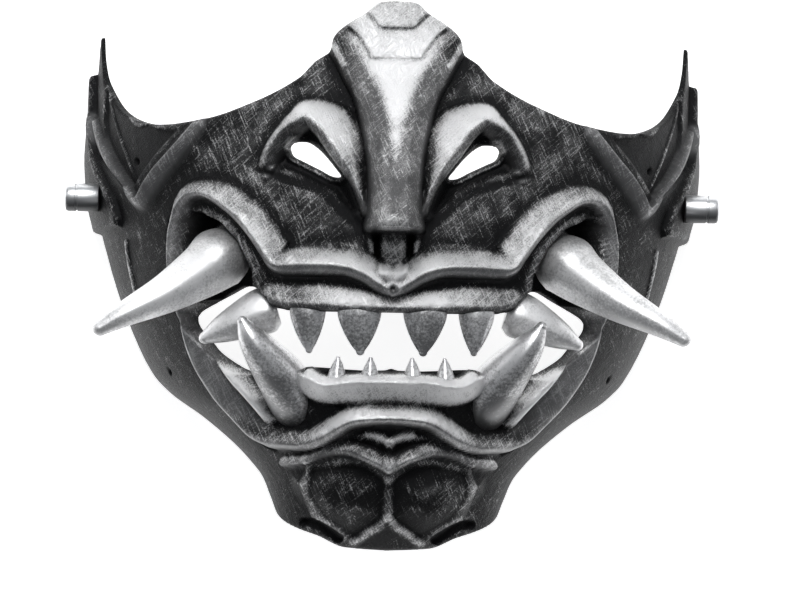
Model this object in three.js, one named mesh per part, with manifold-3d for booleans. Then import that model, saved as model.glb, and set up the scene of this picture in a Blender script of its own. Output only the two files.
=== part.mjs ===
// A rigid half mask with a demon's open mouth, lying face up on its rear rim.
// X runs across the face, Y up to the brow and Z out of the face. Lengths are in millimetres.
import * as THREE from 'three';
import { mergeVertices } from 'three/addons/utils/BufferGeometryUtils.js';
import Module from 'manifold-3d';

// Driving dimensions of the shell
const HALF_WIDTH = 94;
const HALF_HEIGHT = 79;
const FACE_DEPTH = 80;
const WALL = 2.8;
const BLADE_WALL = 1.6;
const CLEARANCE = 0.3;

// Relief heights and depths
const NOSE_RISE = 20;
const LID_RISE = 7.5;
const LIP_RISE = 6;
const RIM_RISE = 4.5;
const GUM_RISE = 2.5;
const CHIN_RISE = 3;
const CHEEK_RIDGE_RISE = 3;
const REAR_PLATE_RISE = 2.5;
const RECESS_DEPTH = 11;
const SOCKET_DEPTH = 3;
const PANEL_DEPTH = 1.2;

// Widths that the ridges follow
const LIP_WIDTH = 7;
const LID_WIDTH = 9;
const RIDGE_WIDTH = 3;
const NOSE_HALF_WIDTH = 22;
const EDGE_SOFTNESS = 2;
const CHIN_SOFTNESS = 8;

// Shares of HALF_HEIGHT and of the quarter turn where the girth is taken and the blades begin and are full
const GIRTH_UP = 0.06;
const BLADE_UP = [0.55, 0.85];
const BLADE_TURN = [0.6, 0.75];

// How square the flank of a ridge is, and how round the top of a ridge or of the nose
const FLANK_POWER = 1.7;
const TOP_POWER = 0.8;

// Tusks, fangs, teeth and studs
const TUSK_RADIUS = 9;
const CORNER_TUSK_RADIUS = 5.3;
const FANG_RADIUS = 7.9;
const UPPER_TOOTH_RADIUS = 6.2;
const LOWER_TOOTH_RADIUS = 3.2;
const STUD_RADIUS = 4.15;
const STUD_REACH = 3.2;
const STUD_LENGTH = 10;
const STUD_UP = 22.5;
const STUD_DEPTH = 27;
const RIVET_RADIUS = 0.9;

// Mesh fineness
const COLUMNS = 68;
const ROWS = 40;
const TUSK_SIDES = 10;
const TUSK_STEPS = 2;
const TOOTH_SIDES = 10;
const TOOTH_STEPS = 1;
const STUD_SIDES = 32;
const RIVET_SIDES = 8;
const CREST_STEPS = 3;
const CELL_PLACES = [-1 / 3, 0, 1 / 3];

// Places of the mesh columns: closest over the nose and mouth, wide apart at the rear rim
const COLUMN_PLACES = [
  { share: 0, turn: 0 },
  { share: 0.2, turn: 0.135 },
  { share: 0.7, turn: 0.57 },
  { share: 0.82, turn: 0.745 },
  { share: 29 / 34, turn: 0.82 },
  { share: 30 / 34, turn: 0.87 },
  { share: 31 / 34, turn: 0.9 },
  { share: 1, turn: 1 },
];

const INK = 0x3a3b3e;
const SILVER = 0xc4c6ca;
const ROUGHNESS = 0.38;
const METALNESS = 0.9;

const wasm = await Module();
wasm.setup();

// Sections of the plain face, from chin to brow
// up: share of HALF_HEIGHT; width: share of HALF_WIDTH; front, rear: shares of FACE_DEPTH
const FACE = [
  { up: -1.0, width: 0.312, front: 0.66, rear: 0.5 },
  { up: -0.9, width: 0.34, front: 0.755, rear: 0.47 },
  { up: -0.82, width: 0.366, front: 0.805, rear: 0.43 },
  { up: -0.75, width: 0.393, front: 0.835, rear: 0.38 },
  { up: -0.7, width: 0.428, front: 0.855, rear: 0.33 },
  { up: -0.64, width: 0.48, front: 0.885, rear: 0.26 },
  { up: -0.54, width: 0.59, front: 0.925, rear: 0.13 },
  { up: -0.45, width: 0.705, front: 0.95, rear: 0.04 },
  { up: -0.38, width: 0.763, front: 0.965, rear: 0 },
  { up: -0.1, width: 0.872, front: 0.99, rear: 0 },
  { up: 0.06, width: 0.915, front: 1, rear: 0 },
  { up: 0.19, width: 0.945, front: 0.995, rear: 0 },
  { up: 0.3, width: 0.965, front: 0.98, rear: 0 },
  { up: 0.45, width: 0.972, front: 0.96, rear: 0 },
  { up: 0.6, width: 0.965, front: 0.93, rear: 0 },
  { up: 0.75, width: 0.963, front: 0.89, rear: 0 },
  { up: 1.0, width: 0.962, front: 0.82, rear: 0 },
];

// Edge of the shell: turn is the share of the quarter turn from the middle to the rear rim
const TOP_EDGE = [
  { turn: 0, up: 1 },
  { turn: 0.035, up: 0.993 },
  { turn: 0.06, up: 0.955 },
  { turn: 0.099, up: 0.907 },
  { turn: 0.124, up: 0.86 },
  { turn: 0.132, up: 0.82 },
  { turn: 0.165, up: 0.778 },
  { turn: 0.2, up: 0.716 },
  { turn: 0.3, up: 0.627 },
  { turn: 0.41, up: 0.57 },
  { turn: 0.53, up: 0.55 },
  { turn: 0.58, up: 0.553 },
  { turn: 0.62, up: 0.562 },
  { turn: 0.685, up: 0.587 },
  { turn: 0.755, up: 0.635 },
  { turn: 0.822, up: 0.725 },
  { turn: 0.845, up: 0.803 },
  { turn: 0.87, up: 0.9 },
  { turn: 0.885, up: 0.86 },
  { turn: 0.905, up: 0.78 },
  { turn: 0.94, up: 0.74 },
  { turn: 1, up: 0.7 },
];
const BOTTOM_EDGE = [
  { turn: 0, up: -1 },
  { turn: 0.28, up: -0.99 },
  { turn: 0.46, up: -0.95 },
  { turn: 0.65, up: -0.925 },
  { turn: 0.85, up: -0.9 },
  { turn: 1, up: -0.875 },
];

// Sections of the nose, from brow to tip
// flat, foot: shares of NOSE_HALF_WIDTH; rise: share of NOSE_RISE
const NOSE = [
  { up: 0.155, flat: 0.14, foot: 0.38, rise: 0 },
  { up: 0.178, flat: 0.14, foot: 0.39, rise: 0.97 },
  { up: 0.21, flat: 0.12, foot: 0.36, rise: 1 },
  { up: 0.3, flat: 0.1, foot: 0.35, rise: 0.95 },
  { up: 0.4, flat: 0.11, foot: 0.365, rise: 0.85 },
  { up: 0.523, flat: 0.16, foot: 0.42, rise: 0.7 },
  { up: 0.632, flat: 0.26, foot: 0.51, rise: 0.55 },
  { up: 0.724, flat: 0.39, foot: 0.66, rise: 0.4 },
  { up: 0.834, flat: 0.52, foot: 0.83, rise: 0.3 },
  { up: 0.9, flat: 0.64, foot: 0.93, rise: 0.27 },
  { up: 1, flat: 0.66, foot: 1, rise: 0.25 },
];

// Ridges, each a line of crest points. across: share of the girth; up: share of HALF_HEIGHT;
// outer, inner: how far the ridge spreads to the left and right of its line; rise: its height
// The lip runs from the middle over the upper lip, the tusk arch and the side to the lower lip
const LIP = [
  { across: 0, up: -0.047, outer: 1.05, inner: 0.25, rise: 0.83 },
  { across: 0.026, up: -0.023, outer: 0.94, inner: 0.36, rise: 0.88 },
  { across: 0.058, up: 0.015, outer: 0.83, inner: 0.43, rise: 0.92 },
  { across: 0.097, up: 0.038, outer: 0.76, inner: 0.44, rise: 0.92 },
  { across: 0.143, up: 0.047, outer: 0.69, inner: 0.51, rise: 0.92 },
  { across: 0.206, up: 0.042, outer: 0.73, inner: 0.49, rise: 0.92 },
  { across: 0.244, up: 0.041, outer: 0.89, inner: 0.37, rise: 0.92 },
  { across: 0.264, up: 0.083, outer: 1, inner: 0.33, rise: 0.92 },
  { across: 0.289, up: 0.147, outer: 1, inner: 0.33, rise: 0.92 },
  { across: 0.318, up: 0.207, outer: 0.99, inner: 0.34, rise: 0.92 },
  { across: 0.353, up: 0.257, outer: 0.86, inner: 0.34, rise: 0.92 },
  { across: 0.396, up: 0.294, outer: 0.71, inner: 0.29, rise: 0.87 },
  { across: 0.436, up: 0.294, outer: 0.61, inner: 0.29, rise: 0.83 },
  { across: 0.469, up: 0.265, outer: 0.54, inner: 0.29, rise: 0.75 },
  { across: 0.494, up: 0.196, outer: 0.41, inner: 0.27, rise: 0.67 },
  { across: 0.506, up: 0.106, outer: 0.39, inner: 0.29, rise: 0.67 },
  { across: 0.509, up: -0.003, outer: 0.4, inner: 0.36, rise: 0.67 },
  { across: 0.498, up: -0.112, outer: 0.4, inner: 0.41, rise: 0.67 },
  { across: 0.478, up: -0.217, outer: 0.39, inner: 0.59, rise: 0.67 },
  { across: 0.45, up: -0.3, outer: 0.37, inner: 0.67, rise: 0.67 },
  { across: 0.418, up: -0.374, outer: 0.37, inner: 0.66, rise: 0.67 },
  { across: 0.367, up: -0.459, outer: 0.36, inner: 0.66, rise: 0.75 },
  { across: 0.326, up: -0.527, outer: 0.36, inner: 0.63, rise: 0.83 },
  { across: 0.296, up: -0.576, outer: 0.36, inner: 0.66, rise: 0.92 },
  { across: 0.241, up: -0.602, outer: 0.33, inner: 0.69, rise: 1 },
  { across: 0.194, up: -0.603, outer: 0.33, inner: 0.71, rise: 1 },
  { across: 0.154, up: -0.582, outer: 0.33, inner: 0.76, rise: 1 },
  { across: 0.119, up: -0.547, outer: 0.33, inner: 0.74, rise: 1 },
  { across: 0.086, up: -0.517, outer: 0.33, inner: 0.7, rise: 1 },
  { across: 0.043, up: -0.504, outer: 0.33, inner: 0.66, rise: 1 },
  { across: 0, up: -0.5, outer: 0.33, inner: 0.61, rise: 1 },
];
const SIDE_RIM = [
  { across: 0.49, up: -0.152, outer: 0.87, inner: 0.8, rise: 0.22 },
  { across: 0.467, up: -0.195, outer: 1.3, inner: 0.75, rise: 0.89 },
  { across: 0.417, up: -0.305, outer: 1.21, inner: 0.75, rise: 1 },
  { across: 0.345, up: -0.444, outer: 1.13, inner: 0.75, rise: 1 },
  { across: 0.297, up: -0.536, outer: 0.87, inner: 0.7, rise: 0.22 },
];
const LID = [
  { across: 0.052, up: 0.23, outer: 0.19, inner: 0.23, rise: 0.89 },
  { across: 0.065, up: 0.311, outer: 0.39, inner: 0.257, rise: 1 },
  { across: 0.084, up: 0.382, outer: 0.68, inner: 0.297, rise: 1 },
  { across: 0.109, up: 0.453, outer: 0.98, inner: 0.351, rise: 0.94 },
  { across: 0.142, up: 0.535, outer: 0.97, inner: 0.365, rise: 0.89 },
  { across: 0.172, up: 0.575, outer: 0.6, inner: 0.392, rise: 0.83 },
  { across: 0.197, up: 0.556, outer: 0.43, inner: 0.419, rise: 0.78 },
  { across: 0.223, up: 0.524, outer: 0.3, inner: 0.405, rise: 0.67 },
  { across: 0.246, up: 0.471, outer: 0.3, inner: 0.36, rise: 0.58 },
  { across: 0.264, up: 0.412, outer: 0.32, inner: 0.36, rise: 0.46 },
  { across: 0.272, up: 0.362, outer: 0.28, inner: 0.28, rise: 0.26 },
];
const GUM = [
  { across: 0, up: -0.104, outer: 1.23, inner: 0.57, rise: 1 },
  { across: 0.067, up: -0.103, outer: 1.77, inner: 0.57, rise: 1 },
  { across: 0.149, up: -0.098, outer: 2.07, inner: 0.57, rise: 1 },
  { across: 0.225, up: -0.094, outer: 2.07, inner: 0.57, rise: 1 },
  { across: 0.262, up: -0.08, outer: 1.53, inner: 0.57, rise: 0.8 },
];
const LOWER_GUM = [
  { across: 0, up: -0.371, outer: 0.9, inner: 1.9, rise: 1 },
  { across: 0.08, up: -0.374, outer: 0.9, inner: 1.9, rise: 1 },
  { across: 0.147, up: -0.387, outer: 1, inner: 1.7, rise: 1 },
  { across: 0.184, up: -0.364, outer: 1, inner: 1.5, rise: 0.8 },
];
const CHIN_FOLD = [
  { across: 0, up: -0.69, outer: 0.93, inner: 0.47, rise: 0.83 },
  { across: 0.026, up: -0.661, outer: 0.97, inner: 0.57, rise: 0.83 },
  { across: 0.071, up: -0.63, outer: 0.97, inner: 0.57, rise: 0.83 },
  { across: 0.107, up: -0.621, outer: 0.87, inner: 0.57, rise: 0.83 },
  { across: 0.151, up: -0.634, outer: 0.87, inner: 0.6, rise: 0.83 },
  { across: 0.198, up: -0.664, outer: 0.77, inner: 0.57, rise: 0.83 },
  { across: 0.263, up: -0.677, outer: 0.7, inner: 0.57, rise: 0.67 },
];
const CHEEK_RIDGE = [
  { across: 0.434, up: 0.551, outer: 0.34, inner: 1.068, rise: 0.5 },
  { across: 0.493, up: 0.456, outer: 0.34, inner: 1.264, rise: 0.83 },
  { across: 0.539, up: 0.391, outer: 0.34, inner: 1.35, rise: 1 },
  { across: 0.576, up: 0.337, outer: 0.34, inner: 1.35, rise: 1 },
  { across: 0.62, up: 0.271, outer: 0.34, inner: 0.982, rise: 1 },
  { across: 0.672, up: 0.339, outer: 0.34, inner: 1.19, rise: 0.83 },
  { across: 0.731, up: 0.412, outer: 0.34, inner: 1.51, rise: 0.83 },
  { across: 0.796, up: 0.499, outer: 0.34, inner: 1.718, rise: 0.73 },
  { across: 0.864, up: 0.576, outer: 0.34, inner: 1.964, rise: 0.67 },
];
const SEPTUM = [
  { across: 0, up: 0.18, outer: 1.3, inner: 1.3, rise: 1 },
  { across: 0, up: 0.03, outer: 1.3, inner: 1.3, rise: 1 },
];

// Sunk and raised fields of one half, as outlines. across: share of the girth; up: share of HALF_HEIGHT
const RECESS = [
  { across: 0.31, up: 0.013 },
  { across: 0.329, up: 0.071 },
  { across: 0.36, up: 0.143 },
  { across: 0.405, up: 0.215 },
  { across: 0.443, up: 0.248 },
  { across: 0.474, up: 0.266 },
  { across: 0.507, up: 0.263 },
  { across: 0.541, up: 0.233 },
  { across: 0.57, up: 0.178 },
  { across: 0.585, up: 0.109 },
  { across: 0.59, up: 0.009 },
  { across: 0.581, up: -0.105 },
  { across: 0.556, up: -0.204 },
  { across: 0.49, up: -0.316 },
  { across: 0.413, up: -0.456 },
  { across: 0.36, up: -0.546 },
  { across: 0.277, up: -0.523 },
  { across: 0.236, up: -0.462 },
  { across: 0.2, up: -0.341 },
  { across: 0.22, up: -0.23 },
  { across: 0.283, up: -0.152 },
  { across: 0.312, up: -0.088 },
];
const SOCKET = [
  { across: 0.272, up: 0.38 },
  { across: 0.263, up: 0.445 },
  { across: 0.239, up: 0.51 },
  { across: 0.209, up: 0.547 },
  { across: 0.184, up: 0.562 },
  { across: 0.161, up: 0.526 },
  { across: 0.128, up: 0.45 },
  { across: 0.101, up: 0.379 },
  { across: 0.066, up: 0.233 },
  { across: 0.087, up: 0.207 },
  { across: 0.138, up: 0.288 },
  { across: 0.205, up: 0.345 },
];
const CHEEK_PANEL = [
  { across: 0.482, up: 0.531 },
  { across: 0.553, up: 0.441 },
  { across: 0.604, up: 0.376 },
  { across: 0.65, up: 0.31 },
  { across: 0.712, up: 0.386 },
  { across: 0.774, up: 0.464 },
  { across: 0.812, up: 0.581 },
  { across: 0.801, up: 0.719 },
  { across: 0.754, up: 0.7 },
  { across: 0.695, up: 0.635 },
  { across: 0.56, up: 0.541 },
];
const REAR_PLATE = [
  { across: 0.885, up: 0.56 },
  { across: 0.845, up: 0.451 },
  { across: 0.776, up: 0.352 },
  { across: 0.726, up: 0.279 },
  { across: 0.712, up: 0.203 },
  { across: 0.72, up: 0.17 },
  { across: 1.2, up: 0.13 },
  { across: 1.2, up: 0.9 },
  { across: 0.9, up: 0.9 },
];
const CHIN_PLATE = [
  { across: 0.01, up: -0.732 },
  { across: 0.008, up: -0.87 },
  { across: 0.06, up: -0.949 },
  { across: 0.121, up: -0.93 },
  { across: 0.178, up: -0.862 },
  { across: 0.24, up: -0.792 },
  { across: 0.254, up: -0.708 },
  { across: 0.199, up: -0.687 },
  { across: 0.113, up: -0.647 },
];

// Openings as seen from the front. x: share of HALF_WIDTH; y: share of HALF_HEIGHT
const MOUTH = [
  { x: 0, y: -0.125 },
  { x: 0.277, y: -0.125 },
  { x: 0.332, y: -0.119 },
  { x: 0.366, y: -0.109 },
  { x: 0.389, y: -0.076 },
  { x: 0.416, y: -0.044 },
  { x: 0.445, y: -0.042 },
  { x: 0.492, y: -0.072 },
  { x: 0.549, y: -0.11 },
  { x: 0.585, y: -0.138 },
  { x: 0.595, y: -0.163 },
  { x: 0.584, y: -0.196 },
  { x: 0.555, y: -0.232 },
  { x: 0.525, y: -0.276 },
  { x: 0.49, y: -0.308 },
  { x: 0.441, y: -0.342 },
  { x: 0.384, y: -0.362 },
  { x: 0.306, y: -0.352 },
  { x: 0.244, y: -0.326 },
  { x: 0, y: -0.318 },
];
const NOSTRIL = [
  { x: 0.317, y: 0.462 },
  { x: 0.304, y: 0.481 },
  { x: 0.265, y: 0.482 },
  { x: 0.233, y: 0.459 },
  { x: 0.206, y: 0.427 },
  { x: 0.181, y: 0.391 },
  { x: 0.162, y: 0.359 },
  { x: 0.19, y: 0.362 },
  { x: 0.225, y: 0.384 },
  { x: 0.275, y: 0.413 },
  { x: 0.306, y: 0.433 },
];

// Horn-like pieces of the left half, from root to tip
// x, y, z: shares of HALF_WIDTH, HALF_HEIGHT and FACE_DEPTH; size: share of the piece's radius
const TUSK = [
  { x: 0.505, y: 0.078, z: 0.62, size: 0.86 },
  { x: 0.53, y: 0.06, z: 0.77, size: 1 },
  { x: 0.58, y: 0.01, z: 0.84, size: 0.86 },
  { x: 0.68, y: -0.07, z: 0.94, size: 0.63 },
  { x: 0.79, y: -0.14, z: 1, size: 0.42 },
  { x: 0.872, y: -0.198, z: 1.02, size: 0.25 },
];
const CORNER_TUSK = [
  { x: 0.35, y: -0.112, z: 0.81, size: 1.2 },
  { x: 0.385, y: -0.125, z: 0.81, size: 1.3 },
  { x: 0.45, y: -0.16, z: 0.81, size: 1.08 },
  { x: 0.52, y: -0.2, z: 0.805, size: 0.72 },
  { x: 0.567, y: -0.229, z: 0.8, size: 0.34 },
];
const FANG = [
  { x: 0.265, y: -0.5, z: 0.72, size: 1 },
  { x: 0.299, y: -0.425, z: 0.825, size: 0.97 },
  { x: 0.341, y: -0.349, z: 0.887, size: 0.87 },
  { x: 0.39, y: -0.274, z: 0.938, size: 0.67 },
  { x: 0.426, y: -0.215, z: 0.963, size: 0.46 },
  { x: 0.449, y: -0.166, z: 0.969, size: 0.2 },
];

// Teeth of one half: where each stands, how it leans, how wide and how long it is
// x, lean: shares of HALF_WIDTH; root, tip: of HALF_HEIGHT; z: of FACE_DEPTH; width: of the tooth radius
const UPPER_TEETH = [
  { x: 0.256, lean: -0.008, root: -0.085, tip: -0.272, z: 0.93, width: 0.82 },
  { x: 0.1, lean: -0.006, root: -0.085, tip: -0.273, z: 0.97, width: 1 },
];
const LOWER_TEETH = [
  { x: 0.166, lean: -0.006, root: -0.42, tip: -0.284, z: 0.965, width: 1 },
  { x: 0.066, lean: -0.004, root: -0.42, tip: -0.284, z: 0.985, width: 1 },
];
const TOOTH_PROFILE = [
  { along: 0, size: 0.86 },
  { along: 0.24, size: 1 },
  { along: 0.55, size: 0.77 },
  { along: 0.8, size: 0.46 },
  { along: 0.95, size: 0.2 },
];
const TOOTH_FLATNESS = 0.5;
const LOWER_TOOTH_FLATNESS = 0.9;

// Small rivet holes. across: share of the girth; up: share of HALF_HEIGHT
const RIVETS = [
  { across: 0.639, up: 0.415 },
  { across: 0.636, up: -0.362 },
];

// The value of one column of a table, eased between its rows without overshoot
function follow(table, key, column, at) {
  const last = table.length - 1;
  const place = Math.min(Math.max(at, table[0][key]), table[last][key]);
  let i = 0;
  while (i < last - 1 && table[i + 1][key] < place) i += 1;
  const slope = (k) => {
    if (k < 0 || k >= last) return 0;
    return (table[k + 1][column] - table[k][column]) / (table[k + 1][key] - table[k][key]);
  };
  const tangent = (k) => {
    if (k === 0) return slope(0);
    if (k === last) return slope(last - 1);
    const before = slope(k - 1);
    const after = slope(k);
    return before * after > 0 ? (2 * before * after) / (before + after) : 0;
  };
  const span = table[i + 1][key] - table[i][key];
  const t = (place - table[i][key]) / span;
  const ease = t * t * (3 - 2 * t);
  const bend = t * (1 - t) * span * (tangent(i) * (1 - t) - tangent(i + 1) * t);
  return table[i][column] + (table[i + 1][column] - table[i][column]) * ease + bend;
}

function smoothstep(low, high, value) {
  const t = Math.min(Math.max((value - low) / (high - low), 0), 1);
  return t * t * (3 - 2 * t);
}

// The plain face: half width, front height and rear height of the section at a height on the face
function faceSection(y) {
  const up = y / HALF_HEIGHT;
  const rear = FACE_DEPTH * follow(FACE, 'up', 'rear', up);
  return {
    width: HALF_WIDTH * follow(FACE, 'up', 'width', up),
    depth: FACE_DEPTH * follow(FACE, 'up', 'front', up) - rear,
    rear,
  };
}

function quarterGirth(section) {
  return (Math.PI / 2) * Math.sqrt((section.width ** 2 + section.depth ** 2) / 2);
}

const GIRTH = quarterGirth(faceSection(GIRTH_UP * HALF_HEIGHT));

// The point of the face at a turn from -1 to 1 across and a height y, lifted off the plain face
function facePoint(turn, y, lift) {
  const section = faceSection(y);
  const angle = (turn * Math.PI) / 2;
  const out = section.depth * Math.sin(angle);
  const front = section.width * Math.cos(angle);
  const length = Math.hypot(out, front);
  return new THREE.Vector3(
    section.width * Math.sin(angle) + (lift * out) / length,
    y,
    section.rear + section.depth * Math.cos(angle) + (lift * front) / length,
  );
}

// A ridge's crest line, with short steps between its rows
function crestLine(rows, spread, height) {
  const points = rows.map((row) => new THREE.Vector2(row.across * GIRTH, row.up * HALF_HEIGHT));
  const curve = new THREE.SplineCurve(points);
  const steps = (rows.length - 1) * CREST_STEPS;
  const line = [];
  for (let i = 0; i <= steps; i += 1) {
    const row = Math.min(Math.floor(i / CREST_STEPS), rows.length - 2);
    const t = i / CREST_STEPS - row;
    const mix = (key) => rows[row][key] * (1 - t) + rows[row + 1][key] * t;
    const point = curve.getPoint(i / steps);
    line.push({
      x: point.x,
      y: point.y,
      outer: mix('outer') * spread,
      inner: mix('inner') * spread,
      rise: mix('rise') * height,
    });
  }
  return line;
}

// How high a ridge stands at a place: full on its crest line, rounding down to nothing at its feet
function ridgeHeight(line, x, y) {
  let best = { distance: Infinity, side: 1, t: 0, index: 0 };
  for (let i = 0; i < line.length - 1; i += 1) {
    const dx = line[i + 1].x - line[i].x;
    const dy = line[i + 1].y - line[i].y;
    const along = ((x - line[i].x) * dx + (y - line[i].y) * dy) / (dx * dx + dy * dy);
    const t = Math.min(Math.max(along, 0), 1);
    const distance = Math.hypot(x - line[i].x - t * dx, y - line[i].y - t * dy);
    if (distance < best.distance) {
      const side = Math.sign(dx * (y - line[i].y) - dy * (x - line[i].x)) || 1;
      best = { distance, side, t, index: i };
    }
  }
  const from = line[best.index];
  const to = line[best.index + 1];
  const mix = (key) => from[key] * (1 - best.t) + to[key] * best.t;
  const share = best.distance / (best.side > 0 ? mix('outer') : mix('inner'));
  return share < 1 ? mix('rise') * (1 - share ** FLANK_POWER) ** TOP_POWER : 0;
}

// A closed field's outline in millimetres on the face
function fieldOutline(rows) {
  return rows.map((row) => ({ x: row.across * GIRTH, y: row.up * HALF_HEIGHT }));
}

// 1 well inside a field, 0 outside it, with a soft step of the given width just inside its outline
function fieldShare(outline, x, y, softness) {
  let inside = false;
  let nearest = Infinity;
  for (let i = 0, j = outline.length - 1; i < outline.length; j = i, i += 1) {
    const a = outline[i];
    const b = outline[j];
    const crosses = a.y > y !== b.y > y && x < ((b.x - a.x) * (y - a.y)) / (b.y - a.y) + a.x;
    if (crosses) inside = !inside;
    const dx = b.x - a.x;
    const dy = b.y - a.y;
    const along = ((x - a.x) * dx + (y - a.y) * dy) / (dx * dx + dy * dy);
    const t = Math.min(Math.max(along, 0), 1);
    nearest = Math.min(nearest, Math.hypot(x - a.x - t * dx, y - a.y - t * dy));
  }
  return inside ? smoothstep(0, softness, nearest) : 0;
}

const lip = crestLine(LIP, LIP_WIDTH, LIP_RISE);
const sideRim = crestLine(SIDE_RIM, RIDGE_WIDTH, RIM_RISE);
const lid = crestLine(LID, LID_WIDTH, LID_RISE);
const gum = crestLine(GUM, RIDGE_WIDTH, GUM_RISE);
const lowerGum = crestLine(LOWER_GUM, RIDGE_WIDTH, GUM_RISE);
const chinFold = crestLine(CHIN_FOLD, RIDGE_WIDTH, CHIN_RISE);
const cheekRidge = crestLine(CHEEK_RIDGE, RIDGE_WIDTH, CHEEK_RIDGE_RISE);
const septum = crestLine(SEPTUM, RIDGE_WIDTH, GUM_RISE);
const recess = fieldOutline(RECESS);
const socket = fieldOutline(SOCKET);
const cheekPanel = fieldOutline(CHEEK_PANEL);
const rearPlate = fieldOutline(REAR_PLATE);
const chinPlate = fieldOutline(CHIN_PLATE);

function noseHeight(x, y) {
  const up = y / HALF_HEIGHT;
  if (up < NOSE[0].up) return 0;
  const flat = NOSE_HALF_WIDTH * follow(NOSE, 'up', 'flat', up);
  const foot = NOSE_HALF_WIDTH * follow(NOSE, 'up', 'foot', up);
  const rise = NOSE_RISE * follow(NOSE, 'up', 'rise', up);
  const share = Math.min(Math.max((x - flat) / (foot - flat), 0), 1);
  return rise * Math.cos((share * Math.PI) / 2) ** TOP_POWER;
}

// How far the outer face stands off the plain face, x being the way round from the middle
function relief(x, y) {
  const plates = REAR_PLATE_RISE * fieldShare(rearPlate, x, y, EDGE_SOFTNESS)
    - PANEL_DEPTH * fieldShare(cheekPanel, x, y, EDGE_SOFTNESS)
    + CHIN_RISE * fieldShare(chinPlate, x, y, CHIN_SOFTNESS);
  const sunk = RECESS_DEPTH * fieldShare(recess, x, y, EDGE_SOFTNESS)
    + SOCKET_DEPTH * fieldShare(socket, x, y, EDGE_SOFTNESS);
  const mouthRidges = [lip, sideRim, lowerGum].map((line) => ridgeHeight(line, x, y));
  const mouthParts = Math.max(...mouthRidges) + ridgeHeight(gum, x, y);
  const noseParts = Math.max(noseHeight(x, y), ridgeHeight(lid, x, y), ridgeHeight(septum, x, y));
  const small = Math.max(ridgeHeight(chinFold, x, y), ridgeHeight(cheekRidge, x, y));
  return plates - sunk + mouthParts + noseParts + small;
}

// Turn that a column of the grid stands at, with one column on the tip of each side blade
function columnTurn(index) {
  const share = (2 * index) / COLUMNS - 1;
  return Math.sign(share) * follow(COLUMN_PLACES, 'share', 'turn', Math.abs(share));
}

function rowHeight(turn, index) {
  const at = Math.abs(turn);
  const bottom = HALF_HEIGHT * follow(BOTTOM_EDGE, 'turn', 'up', at);
  const top = HALF_HEIGHT * follow(TOP_EDGE, 'turn', 'up', at);
  return bottom + ((top - bottom) * index) / ROWS;
}

// The relief around a grid point, as the mean of several places in its cell
function cellLift(column, row) {
  let sum = 0;
  for (const dc of CELL_PLACES) {
    const turn = columnTurn(Math.min(Math.max(column + dc, 0), COLUMNS));
    for (const dr of CELL_PLACES) {
      const y = rowHeight(turn, Math.min(Math.max(row + dr, 0), ROWS));
      sum += relief(Math.abs(turn) * quarterGirth(faceSection(y)), y);
    }
  }
  return sum / CELL_PLACES.length ** 2;
}

// The wall, which thins towards the side blades
function wallAt(turn, y) {
  const out = smoothstep(BLADE_TURN[0], BLADE_TURN[1], Math.abs(turn));
  const high = smoothstep(BLADE_UP[0], BLADE_UP[1], y / HALF_HEIGHT);
  return WALL + (BLADE_WALL - WALL) * out * high;
}

// The shell before its openings are cut: a fine outer grid, a coarse inner grid and the rim between them
function shellSurface() {
  const lifts = [];
  for (let c = 0; c <= COLUMNS; c += 1) {
    const column = [];
    for (let r = 0; r <= ROWS; r += 1) column.push(cellLift(c, r));
    lifts.push(column);
  }
  const lowestNear = (c, r) => {
    let lowest = Infinity;
    for (let i = Math.max(c - 1, 0); i <= Math.min(c + 1, COLUMNS); i += 1) {
      for (let j = Math.max(r - 1, 0); j <= Math.min(r + 1, ROWS); j += 1) {
        lowest = Math.min(lowest, lifts[i][j]);
      }
    }
    return lowest;
  };
  const points = [];
  const outer = (c, r) => c * (ROWS + 1) + r;
  for (let c = 0; c <= COLUMNS; c += 1) {
    for (let r = 0; r <= ROWS; r += 1) {
      const turn = columnTurn(c);
      points.push(facePoint(turn, rowHeight(turn, r), lifts[c][r]));
    }
  }
  const first = points.length;
  const inner = (c, r) => first + (c / 2) * (ROWS / 2 + 1) + r / 2;
  for (let c = 0; c <= COLUMNS; c += 2) {
    for (let r = 0; r <= ROWS; r += 2) {
      const turn = columnTurn(c);
      const y = rowHeight(turn, r);
      points.push(facePoint(turn, y, lowestNear(c, r) - wallAt(turn, y)));
    }
  }
  const faces = [];
  for (let c = 0; c < COLUMNS; c += 1) {
    for (let r = 0; r < ROWS; r += 1) {
      const rising = Math.abs(lifts[c][r] - lifts[c + 1][r + 1]);
      const falling = Math.abs(lifts[c + 1][r] - lifts[c][r + 1]);
      const corners = [outer(c, r), outer(c + 1, r), outer(c + 1, r + 1), outer(c, r + 1)];
      const turned = rising <= falling ? corners : [...corners.slice(1), corners[0]];
      faces.push([turned[0], turned[1], turned[2]]);
      faces.push([turned[0], turned[2], turned[3]]);
    }
  }
  for (let c = 0; c < COLUMNS; c += 2) {
    for (let r = 0; r < ROWS; r += 2) {
      faces.push([inner(c, r), inner(c + 2, r + 2), inner(c + 2, r)]);
      faces.push([inner(c, r), inner(c, r + 2), inner(c + 2, r + 2)]);
    }
  }
  const rim = (outerAt, innerAt, count, flip) => {
    for (let i = 0; i < count; i += 2) {
      const strip = [
        [outerAt(i), innerAt(i), outerAt(i + 1)],
        [innerAt(i), innerAt(i + 2), outerAt(i + 1)],
        [outerAt(i + 1), innerAt(i + 2), outerAt(i + 2)],
      ];
      strip.forEach((face) => faces.push(flip ? [face[0], face[2], face[1]] : face));
    }
  };
  rim((i) => outer(i, 0), (i) => inner(i, 0), COLUMNS, false);
  rim((i) => outer(i, ROWS), (i) => inner(i, ROWS), COLUMNS, true);
  rim((i) => outer(0, i), (i) => inner(0, i), ROWS, true);
  rim((i) => outer(COLUMNS, i), (i) => inner(COLUMNS, i), ROWS, false);
  return solidFromFaces(points, faces);
}

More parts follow.
